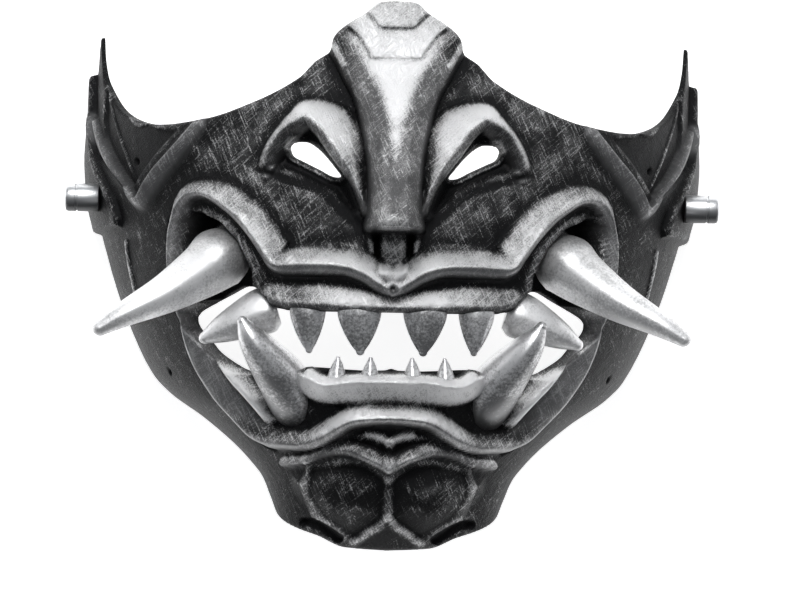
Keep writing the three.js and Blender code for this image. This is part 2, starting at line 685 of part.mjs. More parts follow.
// A manifold solid from points and triangles
function solidFromFaces(points, faces) {
  const vertProperties = new Float32Array(points.flatMap((point) => [point.x, point.y, point.z]));
  const triVerts = new Uint32Array(faces.flat());
  return new wasm.Manifold(new wasm.Mesh({ numProp: 3, vertProperties, triVerts }));
}

function solidFromGeometry(geometry) {
  geometry.deleteAttribute('normal');
  geometry.deleteAttribute('uv');
  const merged = mergeVertices(geometry, 1e-4);
  return new wasm.Manifold(new wasm.Mesh({
    numProp: 3,
    vertProperties: new Float32Array(merged.attributes.position.array),
    triVerts: new Uint32Array(merged.index.array),
  }));
}

// A straight cutter through the face from an outline seen from the front
function frontCutter(outline) {
  const shape = new THREE.Shape(outline.map((point) => new THREE.Vector2(point.x, point.y)));
  const depth = FACE_DEPTH + 2 * NOSE_RISE;
  const geometry = new THREE.ExtrudeGeometry(shape, { depth, bevelEnabled: false });
  geometry.translate(0, 0, -NOSE_RISE / 2);
  return solidFromGeometry(geometry);
}

function frontOutline(rows, side) {
  return rows.map((row) => ({ x: side * row.x * HALF_WIDTH, y: row.y * HALF_HEIGHT }));
}

function mouthCutter() {
  const right = frontOutline(MOUTH, 1);
  const left = frontOutline(MOUTH.slice(1, -1), -1).reverse();
  return frontCutter([...right, ...left]);
}

// A small hole square to the face
function rivetCutter(rivet, side) {
  const y = rivet.up * HALF_HEIGHT;
  const turn = (side * rivet.across * GIRTH) / quarterGirth(faceSection(y));
  const centre = facePoint(turn, y, 0);
  const square = facePoint(turn, y, 1).sub(centre);
  const geometry = new THREE.CylinderGeometry(RIVET_RADIUS, RIVET_RADIUS, 2 * NOSE_RISE, RIVET_SIDES);
  geometry.applyQuaternion(new THREE.Quaternion().setFromUnitVectors(new THREE.Vector3(0, 1, 0), square));
  geometry.translate(centre.x, centre.y, centre.z);
  return solidFromGeometry(geometry);
}

// A horn along a smooth line of round or flattened sections, closed by a flat root and a blunt tip
function hornSolid(stations, flatness, sides, fineness, grow) {
  const curve = new THREE.CatmullRomCurve3(stations.map((station) => station.point), false, 'centripetal');
  const steps = (stations.length - 1) * fineness;
  const points = [];
  const faces = [];
  for (let i = 0; i <= steps; i += 1) {
    const row = Math.min(Math.floor(i / fineness), stations.length - 2);
    const t = i / fineness - row;
    const radius = stations[row].radius * (1 - t) + stations[row + 1].radius * t;
    const centre = curve.getPoint(i / steps);
    const along = curve.getTangent(i / steps);
    if (i === 0) centre.addScaledVector(along, -grow);
    const depthward = new THREE.Vector3(0, 0, 1).addScaledVector(along, -along.z).normalize();
    const sideward = new THREE.Vector3().crossVectors(along, depthward);
    for (let s = 0; s < sides; s += 1) {
      const angle = (s * 2 * Math.PI) / sides;
      const point = centre.clone();
      point.addScaledVector(sideward, (radius + grow) * Math.cos(angle));
      point.addScaledVector(depthward, (radius * flatness + grow) * Math.sin(angle));
      points.push(point);
    }
  }
  const tip = points.length;
  const tangent = curve.getTangent(1);
  const last = stations[stations.length - 1];
  points.push(last.point.clone().addScaledVector(tangent, last.radius + grow));
  points.push(stations[0].point.clone().addScaledVector(curve.getTangent(0), -grow));
  for (let s = 0; s < sides; s += 1) {
    const next = (s + 1) % sides;
    for (let i = 0; i < steps; i += 1) {
      const a = i * sides;
      const b = a + sides;
      faces.push([a + s, b + next, a + next], [a + s, b + s, b + next]);
    }
    faces.push([steps * sides + next, steps * sides + s, tip]);
    faces.push([s, next, tip + 1]);
  }
  return solidFromFaces(points, faces);
}

function hornStations(rows, radius, side) {
  return rows.map((row) => ({
    point: new THREE.Vector3(side * row.x * HALF_WIDTH, row.y * HALF_HEIGHT, row.z * FACE_DEPTH),
    radius: row.size * radius,
  }));
}

function toothStations(tooth, radius, side) {
  return TOOTH_PROFILE.map((row) => ({
    point: new THREE.Vector3(
      side * (tooth.x + tooth.lean * row.along) * HALF_WIDTH,
      (tooth.root + (tooth.tip - tooth.root) * row.along) * HALF_HEIGHT,
      tooth.z * FACE_DEPTH,
    ),
    radius: row.size * tooth.width * radius,
  }));
}

// A stud on the side, whose root sits in the wall
function studSolid(side, grow) {
  const radius = STUD_RADIUS + grow;
  const length = STUD_LENGTH + grow;
  const geometry = new THREE.CylinderGeometry(radius, radius, length, STUD_SIDES);
  geometry.rotateZ(Math.PI / 2);
  const end = HALF_WIDTH + STUD_REACH;
  geometry.translate(side * (end - length / 2), STUD_UP, STUD_DEPTH);
  return solidFromGeometry(geometry);
}

// Every separate piece: its name, its solid and a slightly larger solid that its seat is cut with
function fittedPieces() {
  const pieces = [];
  const add = (name, make) => {
    pieces.push({ name, solid: make(0), cutter: make(CLEARANCE) });
  };
  [{ word: 'left', side: -1 }, { word: 'right', side: 1 }].forEach(({ word, side }) => {
    const horn = (name, rows, radius) => {
      const stations = hornStations(rows, radius, side);
      add(`${name}_${word}`, (grow) => hornSolid(stations, 1, TUSK_SIDES, TUSK_STEPS, grow));
    };
    horn('upper_tusk', TUSK, TUSK_RADIUS);
    horn('corner_tusk', CORNER_TUSK, CORNER_TUSK_RADIUS);
    horn('lower_fang', FANG, FANG_RADIUS);
    add(`side_peg_${word}`, (grow) => studSolid(side, grow));
  });
  const row = (name, teeth, radius, flatness) => {
    const sides = [...teeth.map((tooth) => [tooth, -1]), ...teeth.map((tooth) => [tooth, 1]).reverse()];
    sides.forEach(([tooth, side], index) => {
      const stations = toothStations(tooth, radius, side);
      const make = (grow) => hornSolid(stations, flatness, TOOTH_SIDES, TOOTH_STEPS, grow);
      add(`${name}_${index + 1}`, make);
    });
  };
  row('upper_tooth', UPPER_TEETH, UPPER_TOOTH_RADIUS, TOOTH_FLATNESS);
  row('lower_tooth', LOWER_TEETH, LOWER_TOOTH_RADIUS, LOWER_TOOTH_FLATNESS);
  return pieces;
}

function meshFromSolid(name, solid, color) {
  const found = solid.getMesh();
  const geometry = new THREE.BufferGeometry();
  geometry.setAttribute('position', new THREE.BufferAttribute(new Float32Array(found.vertProperties), 3));
  geometry.setIndex(new THREE.BufferAttribute(new Uint32Array(found.triVerts), 1));
  geometry.computeVertexNormals();
  const material = new THREE.MeshStandardMaterial({ color, roughness: ROUGHNESS, metalness: METALNESS });
  const mesh = new THREE.Mesh(geometry, material);
  mesh.name = name;
  return mesh;
}

function buildMask() {
  const group = new THREE.Group();
  const pieces = fittedPieces();
  let shell = shellSurface().subtract(mouthCutter());
  [-1, 1].forEach((side) => {
    shell = shell.subtract(frontCutter(frontOutline(NOSTRIL, side)));
    RIVETS.forEach((rivet) => {
      shell = shell.subtract(rivetCutter(rivet, side));
    });
  });
  pieces.forEach((piece) => {
    shell = shell.subtract(piece.cutter);
  });
  group.add(meshFromSolid('mask_shell', shell, INK));
  pieces.forEach((piece) => group.add(meshFromSolid(piece.name, piece.solid, SILVER)));
  return group;
}

export default buildMask();
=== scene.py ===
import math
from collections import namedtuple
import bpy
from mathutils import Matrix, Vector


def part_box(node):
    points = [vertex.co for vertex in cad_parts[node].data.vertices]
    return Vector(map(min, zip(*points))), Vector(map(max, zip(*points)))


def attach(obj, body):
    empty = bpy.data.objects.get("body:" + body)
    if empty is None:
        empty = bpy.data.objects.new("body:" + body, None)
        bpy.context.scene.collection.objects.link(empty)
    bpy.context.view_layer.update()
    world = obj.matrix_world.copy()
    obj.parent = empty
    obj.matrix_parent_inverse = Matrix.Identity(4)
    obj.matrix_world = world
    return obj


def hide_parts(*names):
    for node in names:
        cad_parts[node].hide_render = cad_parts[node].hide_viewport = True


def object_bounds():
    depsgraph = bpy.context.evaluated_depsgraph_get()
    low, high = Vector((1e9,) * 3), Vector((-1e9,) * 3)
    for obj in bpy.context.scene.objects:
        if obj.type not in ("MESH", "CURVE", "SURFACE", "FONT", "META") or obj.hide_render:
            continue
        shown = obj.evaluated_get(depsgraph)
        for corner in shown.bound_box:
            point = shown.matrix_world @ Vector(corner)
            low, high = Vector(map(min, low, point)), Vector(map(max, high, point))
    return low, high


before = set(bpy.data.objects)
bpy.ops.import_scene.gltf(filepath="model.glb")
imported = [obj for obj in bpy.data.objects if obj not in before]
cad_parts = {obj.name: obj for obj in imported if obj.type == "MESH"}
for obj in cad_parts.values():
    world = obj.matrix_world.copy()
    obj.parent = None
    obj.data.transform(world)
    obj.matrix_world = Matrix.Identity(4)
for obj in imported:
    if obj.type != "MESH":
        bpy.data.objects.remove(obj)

# Looks of a demon half mask: a cast shell in antique silver, with tusks, teeth and studs.
# The shell's skin is worked out on a fine grid from the same tables as the plain solid.
from types import SimpleNamespace

import bpy
import numpy as np
from mathutils import Matrix, Vector

FRAME_LOW, FRAME_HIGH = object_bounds()

# Driving sizes in millimetres, at the frame's scale
SHELL_LOW, SHELL_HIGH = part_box("mask_shell")
HALF_HEIGHT = 79.0
MM = (SHELL_HIGH.y - SHELL_LOW.y) / (2 * HALF_HEIGHT)
STUD_REACH = 3.2
HALF_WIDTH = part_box("side_peg_right")[1].x / MM - STUD_REACH
FACE_DEPTH = 80.0
WALL = 2.8
THIN_WALL = 1.2

NOSE_RISE = 20.0
LID_RISE = 7.5
LIP_RISE = 6.0
RIM_RISE = 4.2
GUM_RISE = 2.5
LOWER_GUM_RISE = 6.8
CHIN_RISE = 3.0
CHEEK_RIDGE_RISE = 3.0
REAR_PLATE_RISE = 2.5
RECESS_DEPTH = 11.0
SOCKET_DEPTH = 3.0
PANEL_DEPTH = 1.2

LIP_WIDTH = 7.0
LID_WIDTH = 9.0
RIDGE_WIDTH = 3.0
NOSE_HALF_WIDTH = 22.0
STEP_WIDTH = 1.3
SOFT_STEP_WIDTH = 4.0
CHIN_SOFTNESS = 8.0
EDGE_ROUNDING = 0.9
SLIT_RIM_RISE = 0.9
SLIT_RIM_HALF_WIDTH = 1.1
GRAIN_RISE = 0.12
FINE_GRAIN_RISE = 0.05

TUSK_RADIUS = 9.0
CORNER_TUSK_RADIUS = 5.3
FANG_RADIUS = 7.9
UPPER_TOOTH_RADIUS = 6.2
LOWER_TOOTH_RADIUS = 3.2
RIVET_RADIUS = 0.9

CELL = 0.45
SKIN_TRIANGLES = 190000
SEED = 11

# Where the girth is measured, and where the blades' thin wall begins and is reached:
# shares of HALF_HEIGHT and turns
GIRTH_UP = 0.06
BLADE_UP = (0.55, 0.85)
BLADE_TURN = (0.6, 0.75)

# The camera: a long lens nearly straight over the face. Millimetres and degrees
CAMERA_AIM = (2.5, -6.2, 50)
CAMERA_DISTANCE = 950
CAMERA_LEAN = -0.85
CAMERA_ROLL = 1.1
LENS, SENSOR_WIDTH = 147.0, 36.0

# Soft disk lights. Place and size in metres, then watts
LIGHTS = (
    ("key_above_brow", (-0.05, 0.75, 0.95), 0.55, 8.5),
    ("front", (0, 0.35, 1.2), 0.8, 1.0),
    ("side_left", (-1.0, 0.35, 0.45), 0.5, 0.6),
    ("side_right", (1.0, 0.35, 0.45), 0.5, 0.6),
)


def table(columns, *rows):
    """A table as one array for each named column."""
    return dict(zip(columns.split(), np.array(rows, float).T))


# Sections of the plain face, from chin to brow
# up: share of HALF_HEIGHT; width: share of HALF_WIDTH; front, rear: shares of FACE_DEPTH
FACE = table(
    "up width front rear",
    (-1, 0.312, 0.66, 0.5),
    (-0.9, 0.34, 0.755, 0.47),
    (-0.82, 0.366, 0.805, 0.43),
    (-0.75, 0.393, 0.835, 0.38),
    (-0.7, 0.428, 0.855, 0.33),
    (-0.64, 0.48, 0.885, 0.26),
    (-0.54, 0.59, 0.925, 0.13),
    (-0.45, 0.705, 0.95, 0.04),
    (-0.38, 0.763, 0.965, 0),
    (-0.1, 0.872, 0.99, 0),
    (0.06, 0.915, 1, 0),
    (0.19, 0.945, 0.995, 0),
    (0.3, 0.965, 0.98, 0),
    (0.45, 0.972, 0.96, 0),
    (0.6, 0.965, 0.93, 0),
    (0.75, 0.963, 0.89, 0),
    (1, 0.962, 0.82, 0),
)

# Edge of the shell: turn is the share of the quarter turn from the middle to the rear rim
TOP_EDGE = table(
    "turn up",
    (0, 1),
    (0.035, 0.993),
    (0.06, 0.955),
    (0.099, 0.907),
    (0.124, 0.86),
    (0.132, 0.82),
    (0.165, 0.778),
    (0.2, 0.716),
    (0.3, 0.627),
    (0.41, 0.57),
    (0.53, 0.55),
    (0.58, 0.553),
    (0.62, 0.562),
    (0.685, 0.587),
    (0.755, 0.635),
    (0.822, 0.725),
    (0.845, 0.803),
    (0.87, 0.9),
    (0.885, 0.86),
    (0.905, 0.78),
    (0.94, 0.74),
    (1, 0.7),
)
BOTTOM_EDGE = table(
    "turn up",
    (0, -1),
    (0.28, -0.99),
    (0.46, -0.95),
    (0.65, -0.925),
    (0.85, -0.9),
    (1, -0.875),
)

# Sections of the nose, from tip to brow
# flat, foot: shares of NOSE_HALF_WIDTH; rise: share of NOSE_RISE
NOSE = table(
    "up flat foot rise",
    (0.155, 0.14, 0.38, 0),
    (0.178, 0.14, 0.39, 0.97),
    (0.21, 0.12, 0.36, 1),
    (0.3, 0.1, 0.35, 0.95),
    (0.4, 0.11, 0.365, 0.85),
    (0.523, 0.16, 0.42, 0.7),
    (0.632, 0.26, 0.51, 0.55),
    (0.724, 0.39, 0.66, 0.4),
    (0.834, 0.52, 0.83, 0.3),
    (0.9, 0.64, 0.93, 0.27),
    (1, 0.66, 1, 0.25),
)

# The nose's painted highlight: a bright stripe along its lit top, partly silver brushed on the bridge.
# half: its half width as a share of NOSE_HALF_WIDTH; tone: how bright it is painted, dim toward the tip
NOSE_PAINTED_HIGHLIGHT = table(
    "up half tone",
    (0.15, 0, 0.1),
    (0.3, 0.02, 0.16),
    (0.38, 0.03, 0.45),
    (0.45, 0.05, 0.85),
    (0.55, 0.08, 1),
    (0.62, 0.13, 1.05),
    (0.69, 0.22, 1.1),
    (0.76, 0.34, 1.1),
    (0.82, 0.46, 1),
    (0.9, 0.6, 0.75),
    (1, 0.7, 0.6),
)

# Ridges, each a line of crest points. across: share of the girth; up: share of HALF_HEIGHT;
# outer, inner: how far the ridge spreads to the left and right of its line; rise: its height;
# lit: 1 where the broad brushed facet lies on the outer side, 0 where it lies on the inner side;
# the last column: how much silver shows on that facet
LIP = table(
    "across up outer inner rise lit bare",
    (0, -0.047, 1.05, 0.25, 0.83, 1, 0.7),
    (0.026, -0.023, 0.94, 0.36, 0.88, 1, 0.74),
    (0.058, 0.015, 0.83, 0.43, 0.92, 1, 0.78),
    (0.097, 0.038, 0.76, 0.44, 0.92, 1, 0.76),
    (0.143, 0.047, 0.69, 0.51, 0.92, 1, 0.7),
    (0.206, 0.042, 0.73, 0.49, 0.92, 1, 0.62),
    (0.244, 0.041, 0.89, 0.37, 0.92, 1, 0.55),
    (0.264, 0.083, 1, 0.33, 0.92, 1, 0.5),
    (0.289, 0.147, 1, 0.33, 0.92, 1, 0.48),
    (0.318, 0.207, 0.99, 0.34, 0.92, 1, 0.5),
    (0.353, 0.257, 0.86, 0.34, 0.92, 1, 0.5),
    (0.396, 0.294, 0.71, 0.29, 0.87, 1, 0.36),
    (0.436, 0.294, 0.61, 0.29, 0.83, 1, 0.28),
    (0.469, 0.262, 0.54, 0.27, 0.75, 1, 0.28),
    (0.494, 0.2, 0.41, 0.25, 0.67, 1, 0.34),
    (0.511, 0.115, 0.36, 0.27, 0.67, 0.7, 0.42),
    (0.517, 0.01, 0.36, 0.3, 0.67, 0.4, 0.42),
    (0.509, -0.085, 0.34, 0.4, 0.67, 0, 0.42),
    (0.493, -0.168, 0.33, 0.62, 0.7, 0, 0.4),
    (0.482, -0.262, 0.33, 0.98, 0.75, 0, 0.4),
    (0.462, -0.345, 0.33, 1.22, 0.8, 0, 0.4),
    (0.43, -0.425, 0.33, 1.25, 0.83, 0, 0.36),
    (0.39, -0.503, 0.33, 1.1, 0.87, 0, 0.32),
    (0.34, -0.572, 0.33, 0.9, 0.92, 0, 0.26),
    (0.29, -0.6, 0.33, 0.76, 0.97, 0, 0.2),
    (0.241, -0.604, 0.33, 0.69, 1, 0, 0.16),
    (0.194, -0.603, 0.33, 0.71, 1, 0, 0.2),
    (0.154, -0.582, 0.33, 0.76, 1, 0, 0.5),
    (0.119, -0.547, 0.33, 0.74, 1, 0, 0.74),
    (0.086, -0.517, 0.33, 0.7, 1, 0, 0.85),
    (0.043, -0.504, 0.33, 0.66, 1, 0, 0.85),
    (0, -0.5, 0.33, 0.61, 1, 0, 0.85),
)
SIDE_RIM = table(
    "across up outer inner rise lit bare",
    (0.452, -0.19, 0.6, 0.6, 0.2, 1, 1),
    (0.424, -0.255, 0.8, 0.95, 0.8, 1, 1),
    (0.41, -0.295, 0.85, 0.95, 1, 1, 1),
    (0.372, -0.382, 0.85, 0.95, 1, 1, 1),
    (0.33, -0.45, 0.85, 0.95, 1, 1, 1),
    (0.303, -0.519, 0.8, 0.95, 0.7, 1, 1),
    (0.285, -0.56, 0.6, 0.6, 0.15, 1, 1),
)
LID = table(
    "across up outer inner rise lit bare",
    (0.052, 0.23, 0.19, 0.23, 0.89, 1, 0.26),
    (0.065, 0.311, 0.39, 0.257, 1, 1, 0.28),
    (0.084, 0.382, 0.68, 0.297, 1, 1, 0.38),
    (0.109, 0.453, 0.98, 0.351, 0.94, 1, 0.66),
    (0.142, 0.535, 0.97, 0.365, 0.89, 1, 0.88),
    (0.172, 0.575, 0.6, 0.392, 0.83, 1, 0.88),
    (0.197, 0.556, 0.43, 0.419, 0.78, 1, 0.66),
    (0.223, 0.524, 0.3, 0.405, 0.67, 1, 0.42),
    (0.246, 0.471, 0.3, 0.36, 0.58, 1, 0.36),
    (0.262, 0.415, 0.3, 0.32, 0.4, 1, 0.32),
    (0.27, 0.372, 0.26, 0.26, 0.12, 1, 0.3),
)
GUM = table(
    "across up outer inner rise lit bare",
    (0, -0.104, 1.23, 0.57, 1, 1, 0.6),
    (0.067, -0.103, 1.77, 0.57, 1, 1, 0.85),
    (0.149, -0.098, 2.07, 0.57, 1, 1, 0.6),
    (0.225, -0.094, 2.07, 0.57, 1, 1, 0.35),
    (0.262, -0.08, 1.53, 0.57, 0.8, 1, 0.3),
)
LOWER_GUM = table(
    "across up outer inner rise lit bare",
    (0, -0.371, 0.9, 2.3, 1, 0.5, 0.7),
    (0.076, -0.374, 0.9, 2.3, 1, 0.5, 0.7),
    (0.14, -0.387, 1, 2, 1, 0.5, 0.7),
    (0.177, -0.364, 1, 2, 0.8, 0.5, 0.7),
)
CHIN_FOLD = table(
    "across up outer inner rise lit bare",
    (0, -0.69, 0.93, 0.47, 0.83, 1, 0.36),
    (0.026, -0.661, 0.97, 0.57, 0.83, 1, 0.36),
    (0.071, -0.63, 0.97, 0.57, 0.83, 1, 0.36),
    (0.107, -0.621, 0.87, 0.57, 0.83, 1, 0.36),
    (0.151, -0.634, 0.87, 0.6, 0.83, 1, 0.36),
    (0.198, -0.664, 0.77, 0.57, 0.83, 1, 0.36),
    (0.263, -0.677, 0.7, 0.57, 0.67, 1, 0.36),
)
CHEEK_RIDGE = table(
    "across up outer inner rise lit bare",
    (0.434, 0.551, 0.34, 1.068, 0.5, 0, 0.2),
    (0.493, 0.456, 0.34, 1.264, 0.83, 0, 0.2),
    (0.539, 0.391, 0.34, 1.35, 1, 0, 0.2),
    (0.576, 0.337, 0.34, 1.35, 1, 0, 0.2),
    (0.62, 0.271, 0.34, 0.982, 1, 0, 0.2),
    (0.672, 0.339, 0.34, 1.19, 0.83, 0, 0.2),
    (0.731, 0.412, 0.34, 1.51, 0.83, 0, 0.2),
    (0.796, 0.499, 0.34, 1.718, 0.73, 0, 0.2),
    (0.864, 0.576, 0.34, 1.964, 0.67, 0, 0.2),
)
SEPTUM = table(
    "across up outer inner rise lit bare",
    (0, 0.18, 1.3, 1.3, 1, 0.5, 0.4),
    (0, 0.03, 1.3, 1.3, 1, 0.5, 0.4),
)

# Sunk and raised fields of one half, as outlines. across: share of the girth; up: share of HALF_HEIGHT
RECESS = table(
    "across up",
    (0.31, 0.013),
    (0.325, 0.065),
    (0.343, 0.125),
    (0.381, 0.19),
    (0.43, 0.228),
    (0.462, 0.232),
    (0.483, 0.2),
    (0.492, 0.12),
    (0.494, 0.02),
    (0.486, -0.07),
    (0.462, -0.15),
    (0.436, -0.2),
    (0.408, -0.255),
    (0.396, -0.295),
    (0.36, -0.38),
    (0.318, -0.447),
    (0.292, -0.51),
    (0.27, -0.52),
    (0.236, -0.462),
    (0.2, -0.341),
    (0.22, -0.23),
    (0.283, -0.152),
    (0.312, -0.088),
)
SOCKET = table(
    "across up",
    (0.272, 0.38),
    (0.263, 0.445),
    (0.239, 0.51),
    (0.209, 0.547),
    (0.184, 0.562),
    (0.161, 0.526),
    (0.128, 0.45),
    (0.101, 0.379),
    (0.066, 0.233),
    (0.087, 0.207),
    (0.138, 0.288),
    (0.205, 0.345),
)
CHEEK_PANEL = table(
    "across up",
    (0.482, 0.531),
    (0.553, 0.441),
    (0.604, 0.376),
    (0.65, 0.31),
    (0.712, 0.386),
    (0.774, 0.464),
    (0.812, 0.581),
    (0.801, 0.719),
    (0.754, 0.7),
    (0.695, 0.635),
    (0.56, 0.541),
)
REAR_PLATE = table(
    "across up",
    (0.885, 0.56),
    (0.845, 0.451),
    (0.776, 0.352),
    (0.726, 0.279),
    (0.712, 0.203),
    (0.72, 0.17),
    (1.2, 0.13),
    (1.2, 0.9),
    (0.9, 0.9),
)
CHIN_PLATE = table(
    "across up",
    (0.01, -0.732),
    (0.008, -0.87),
    (0.06, -0.949),
    (0.121, -0.93),
    (0.178, -0.862),
    (0.24, -0.792),
    (0.254, -0.708),
    (0.199, -0.687),
    (0.113, -0.647),
)

# Openings as seen from the front. x: share of HALF_WIDTH; y: share of HALF_HEIGHT
MOUTH = table(
    "x y",
    (-0.02, -0.125),
    (0.277, -0.125),
    (0.332, -0.119),
    (0.366, -0.109),
    (0.389, -0.076),
    (0.416, -0.044),
    (0.445, -0.042),
    (0.492, -0.072),
    (0.549, -0.11),
    (0.585, -0.138),
    (0.595, -0.163),
    (0.584, -0.196),
    (0.555, -0.232),
    (0.525, -0.276),
    (0.49, -0.308),
    (0.441, -0.342),
    (0.384, -0.362),
    (0.306, -0.352),
    (0.244, -0.326),
    (-0.02, -0.318),
)
NOSTRIL = table(
    "x y",
    (0.317, 0.462),
    (0.304, 0.481),
    (0.265, 0.482),
    (0.233, 0.459),
    (0.206, 0.427),
    (0.181, 0.391),
    (0.162, 0.359),
    (0.19, 0.362),
    (0.225, 0.384),
    (0.275, 0.413),
    (0.306, 0.433),
)

# Small holes through the wall. across: share of the girth; up: share of HALF_HEIGHT
RIVETS = table("across up", (0.639, 0.415), (0.636, -0.362))


def bead(rise, half, bare, *points):
    """A fine raised line: its height, half width and the silver on it, and its across and up points."""
    return dict(rise=rise, half=half, bare=bare), table("across up", *points)


def groove(depth, half, *points):
    """A fine sunk line, always dark."""
    return bead(-depth, half, 0, *points)


FINE_LINES = [
    bead(0.8, 0.6, 0.7, (0, -0.02), (0.008, -0.026), (0.012, -0.04), (0.008, -0.054), (0, -0.06)),
    groove(1.2, 0.9, (0, -0.041), (0.001, -0.041)),
    groove(0.5, 0.5, (0.057, 0.951), (0.044, 0.926), (0.031, 0.899), (0, 0.896)),
    groove(0.6, 0.55,
        (0.09, 0.894), (0.075, 0.869), (0.064, 0.84), (0.052, 0.807), (0.044, 0.784), (0, 0.78),
    ),
    bead(0.9, 1.0, 0.5, (0.122, 0.837), (0.112, 0.8), (0.1, 0.757)),
    groove(0.5, 1.6,
        (0.274, 0.379), (0.239, 0.358), (0.203, 0.34), (0.164, 0.316), (0.137, 0.288), (0.104, 0.231),
        (0.078, 0.193), (0.053, 0.169),
    ),
    bead(1.4, 1.3, 0.4, (0.05, 0.165), (0.048, 0.133), (0.042, 0.098)),
    groove(1.3, 0.8, (0.034, 0.166), (0.035, 0.123), (0.033, 0.077), (0.02, 0.056)),
    bead(0.5, 1.3, 0.5,
        (0, 0.057), (0.011, 0.056), (0.042, 0.081), (0.085, 0.107), (0.13, 0.111), (0.198, 0.104),
    ),
    groove(0.9, 1.3,
        (0.497, 0.245), (0.523, 0.18), (0.533, 0.115), (0.538, 0.01), (0.53, -0.09), (0.513, -0.172),
        (0.502, -0.265), (0.481, -0.353), (0.449, -0.436), (0.408, -0.517), (0.355, -0.592),
        (0.296, -0.628),
    ),
    bead(2.5, 4.0, 0.4, (0.425, 0.175), (0.448, 0.13), (0.46, 0.08)),
    bead(1.0, 1.8, 0.55, (0, -0.591), (0.022, -0.57), (0.052, -0.556)),
    bead(1.0, 1.9, 0.42, (0, -0.59), (0, -0.689)),
    bead(0.8, 1.7, 0.34,
        (0.01, -0.598), (0.035, -0.581), (0.065, -0.571), (0.099, -0.573), (0.132, -0.596),
        (0.157, -0.624), (0.199, -0.645), (0.253, -0.649),
    ),
    bead(0.9, 1.8, 0.36, (0, -0.727), (0, -0.866)),
    bead(0.9, 1.8, 0.36, (0, -0.874), (0.016, -0.902), (0.037, -0.931), (0.056, -0.964)),
    bead(1.0, 2.0, 0.38,
        (0, -0.723), (0.018, -0.698), (0.044, -0.669), (0.07, -0.659), (0.108, -0.662), (0.152, -0.676),
        (0.184, -0.689),
    ),
    bead(0.6, 2.2, 0.3,
        (0.184, -0.689), (0.187, -0.74), (0.178, -0.792), (0.161, -0.844), (0.136, -0.888),
        (0.102, -0.924), (0.064, -0.964),
    ),
    groove(1.8, 1.5, (0.186, -0.898), (0.168, -0.898), (0.134, -0.912), (0.106, -0.937), (0.09, -0.956)),
    groove(1.2, 2.0, (0.821, 0.444), (0.763, 0.396), (0.714, 0.353), (0.673, 0.311)),
    bead(0.6, 0.8, 0.5, (0.753, 0.726), (0.722, 0.655), (0.681, 0.595), (0.636, 0.555), (0.597, 0.557)),
    bead(0.6, 0.7, 0.35, (0.799, 0.718), (0.768, 0.62), (0.708, 0.495), (0.668, 0.407), (0.641, 0.346)),
    bead(0.8, 1.0, 0.5, (0.71, 0.118), (0.716, 0.044), (0.712, -0.079), (0.726, -0.143)),
]

# Horn-like pieces of the left half, from root to tip
# x, y, z: shares of HALF_WIDTH, HALF_HEIGHT and FACE_DEPTH; size: share of the piece's radius
TUSK = table(
    "x y z size",
    (0.505, 0.078, 0.62, 0.86),
    (0.53, 0.06, 0.77, 1),
    (0.58, 0.01, 0.84, 0.86),
    (0.68, -0.07, 0.94, 0.63),
    (0.79, -0.14, 1, 0.42),
    (0.872, -0.198, 1.02, 0.25),
)
CORNER_TUSK = table(
    "x y z size",
    (0.35, -0.112, 0.81, 0.95),
    (0.372, -0.12, 0.81, 1.24),
    (0.405, -0.135, 0.81, 1.25),
    (0.46, -0.165, 0.81, 1.03),
    (0.52, -0.2, 0.805, 0.72),
    (0.567, -0.229, 0.8, 0.34),
)
FANG = table(
    "x y z size",
    (0.265, -0.5, 0.72, 1),
    (0.299, -0.425, 0.825, 0.97),
    (0.341, -0.349, 0.887, 0.87),
    (0.39, -0.274, 0.938, 0.67),
    (0.426, -0.215, 0.963, 0.46),
    (0.449, -0.166, 0.969, 0.2),
)
# x, width: shares of HALF_WIDTH and of the tooth radius; root, tip: of HALF_HEIGHT; z: of FACE_DEPTH
UPPER_TEETH = table(
    "x lean root tip z width",
    (0.256, -0.008, -0.085, -0.272, 0.93, 0.82),
    (0.1, -0.006, -0.085, -0.273, 0.97, 1),
)
LOWER_TEETH = table(
    "x lean root tip z width",
    (0.166, -0.006, -0.42, -0.284, 0.965, 1),
    (0.066, -0.004, -0.42, -0.284, 0.985, 1),
)
TOOTH_PROFILE = table("along size", (0, 0.86), (0.24, 1), (0.55, 0.77), (0.8, 0.46), (0.95, 0.2))
TOOTH_FLATNESS = 0.5
LOWER_TOOTH_FLATNESS = 0.9


# Numbers on the face


def follow(rows, key, column, at):
    """One column of a table at some places, eased between its rows without overshoot."""
    place, value = rows[key], rows[column]
    slope = np.diff(value) / np.diff(place)
    before, after = slope[:-1], slope[1:]
    same = before * after > 0
    total = np.where(same, before + after, 1)
    inner = np.where(same, 2 * before * after / total, 0)
    tangent = np.concatenate([slope[:1], inner, slope[-1:]])
    spot = np.clip(at, place[0], place[-1])
    i = np.clip(np.searchsorted(place, spot, side="right") - 1, 0, len(place) - 2)
    span = place[i + 1] - place[i]
    t = (spot - place[i]) / span
    ease = t * t * (3 - 2 * t)
    bend = t * (1 - t) * span * (tangent[i] * (1 - t) - tangent[i + 1] * t)
    return value[i] + (value[i + 1] - value[i]) * ease + bend


def smoothstep(low, high, value):
    t = np.clip((value - low) / (high - low), 0, 1)
    return t * t * (3 - 2 * t)


def face_section(y):
    """Half width, front height above the rear and rear height of the plain face at a height."""
    up = y / HALF_HEIGHT
    rear = FACE_DEPTH * follow(FACE, "up", "rear", up)
    width = HALF_WIDTH * follow(FACE, "up", "width", up)
    return width, FACE_DEPTH * follow(FACE, "up", "front", up) - rear, rear


def quarter_girth(y):
    width, depth, _ = face_section(y)
    return math.pi / 2 * np.sqrt((width**2 + depth**2) / 2)


GIRTH = float(quarter_girth(np.array(GIRTH_UP * HALF_HEIGHT)))


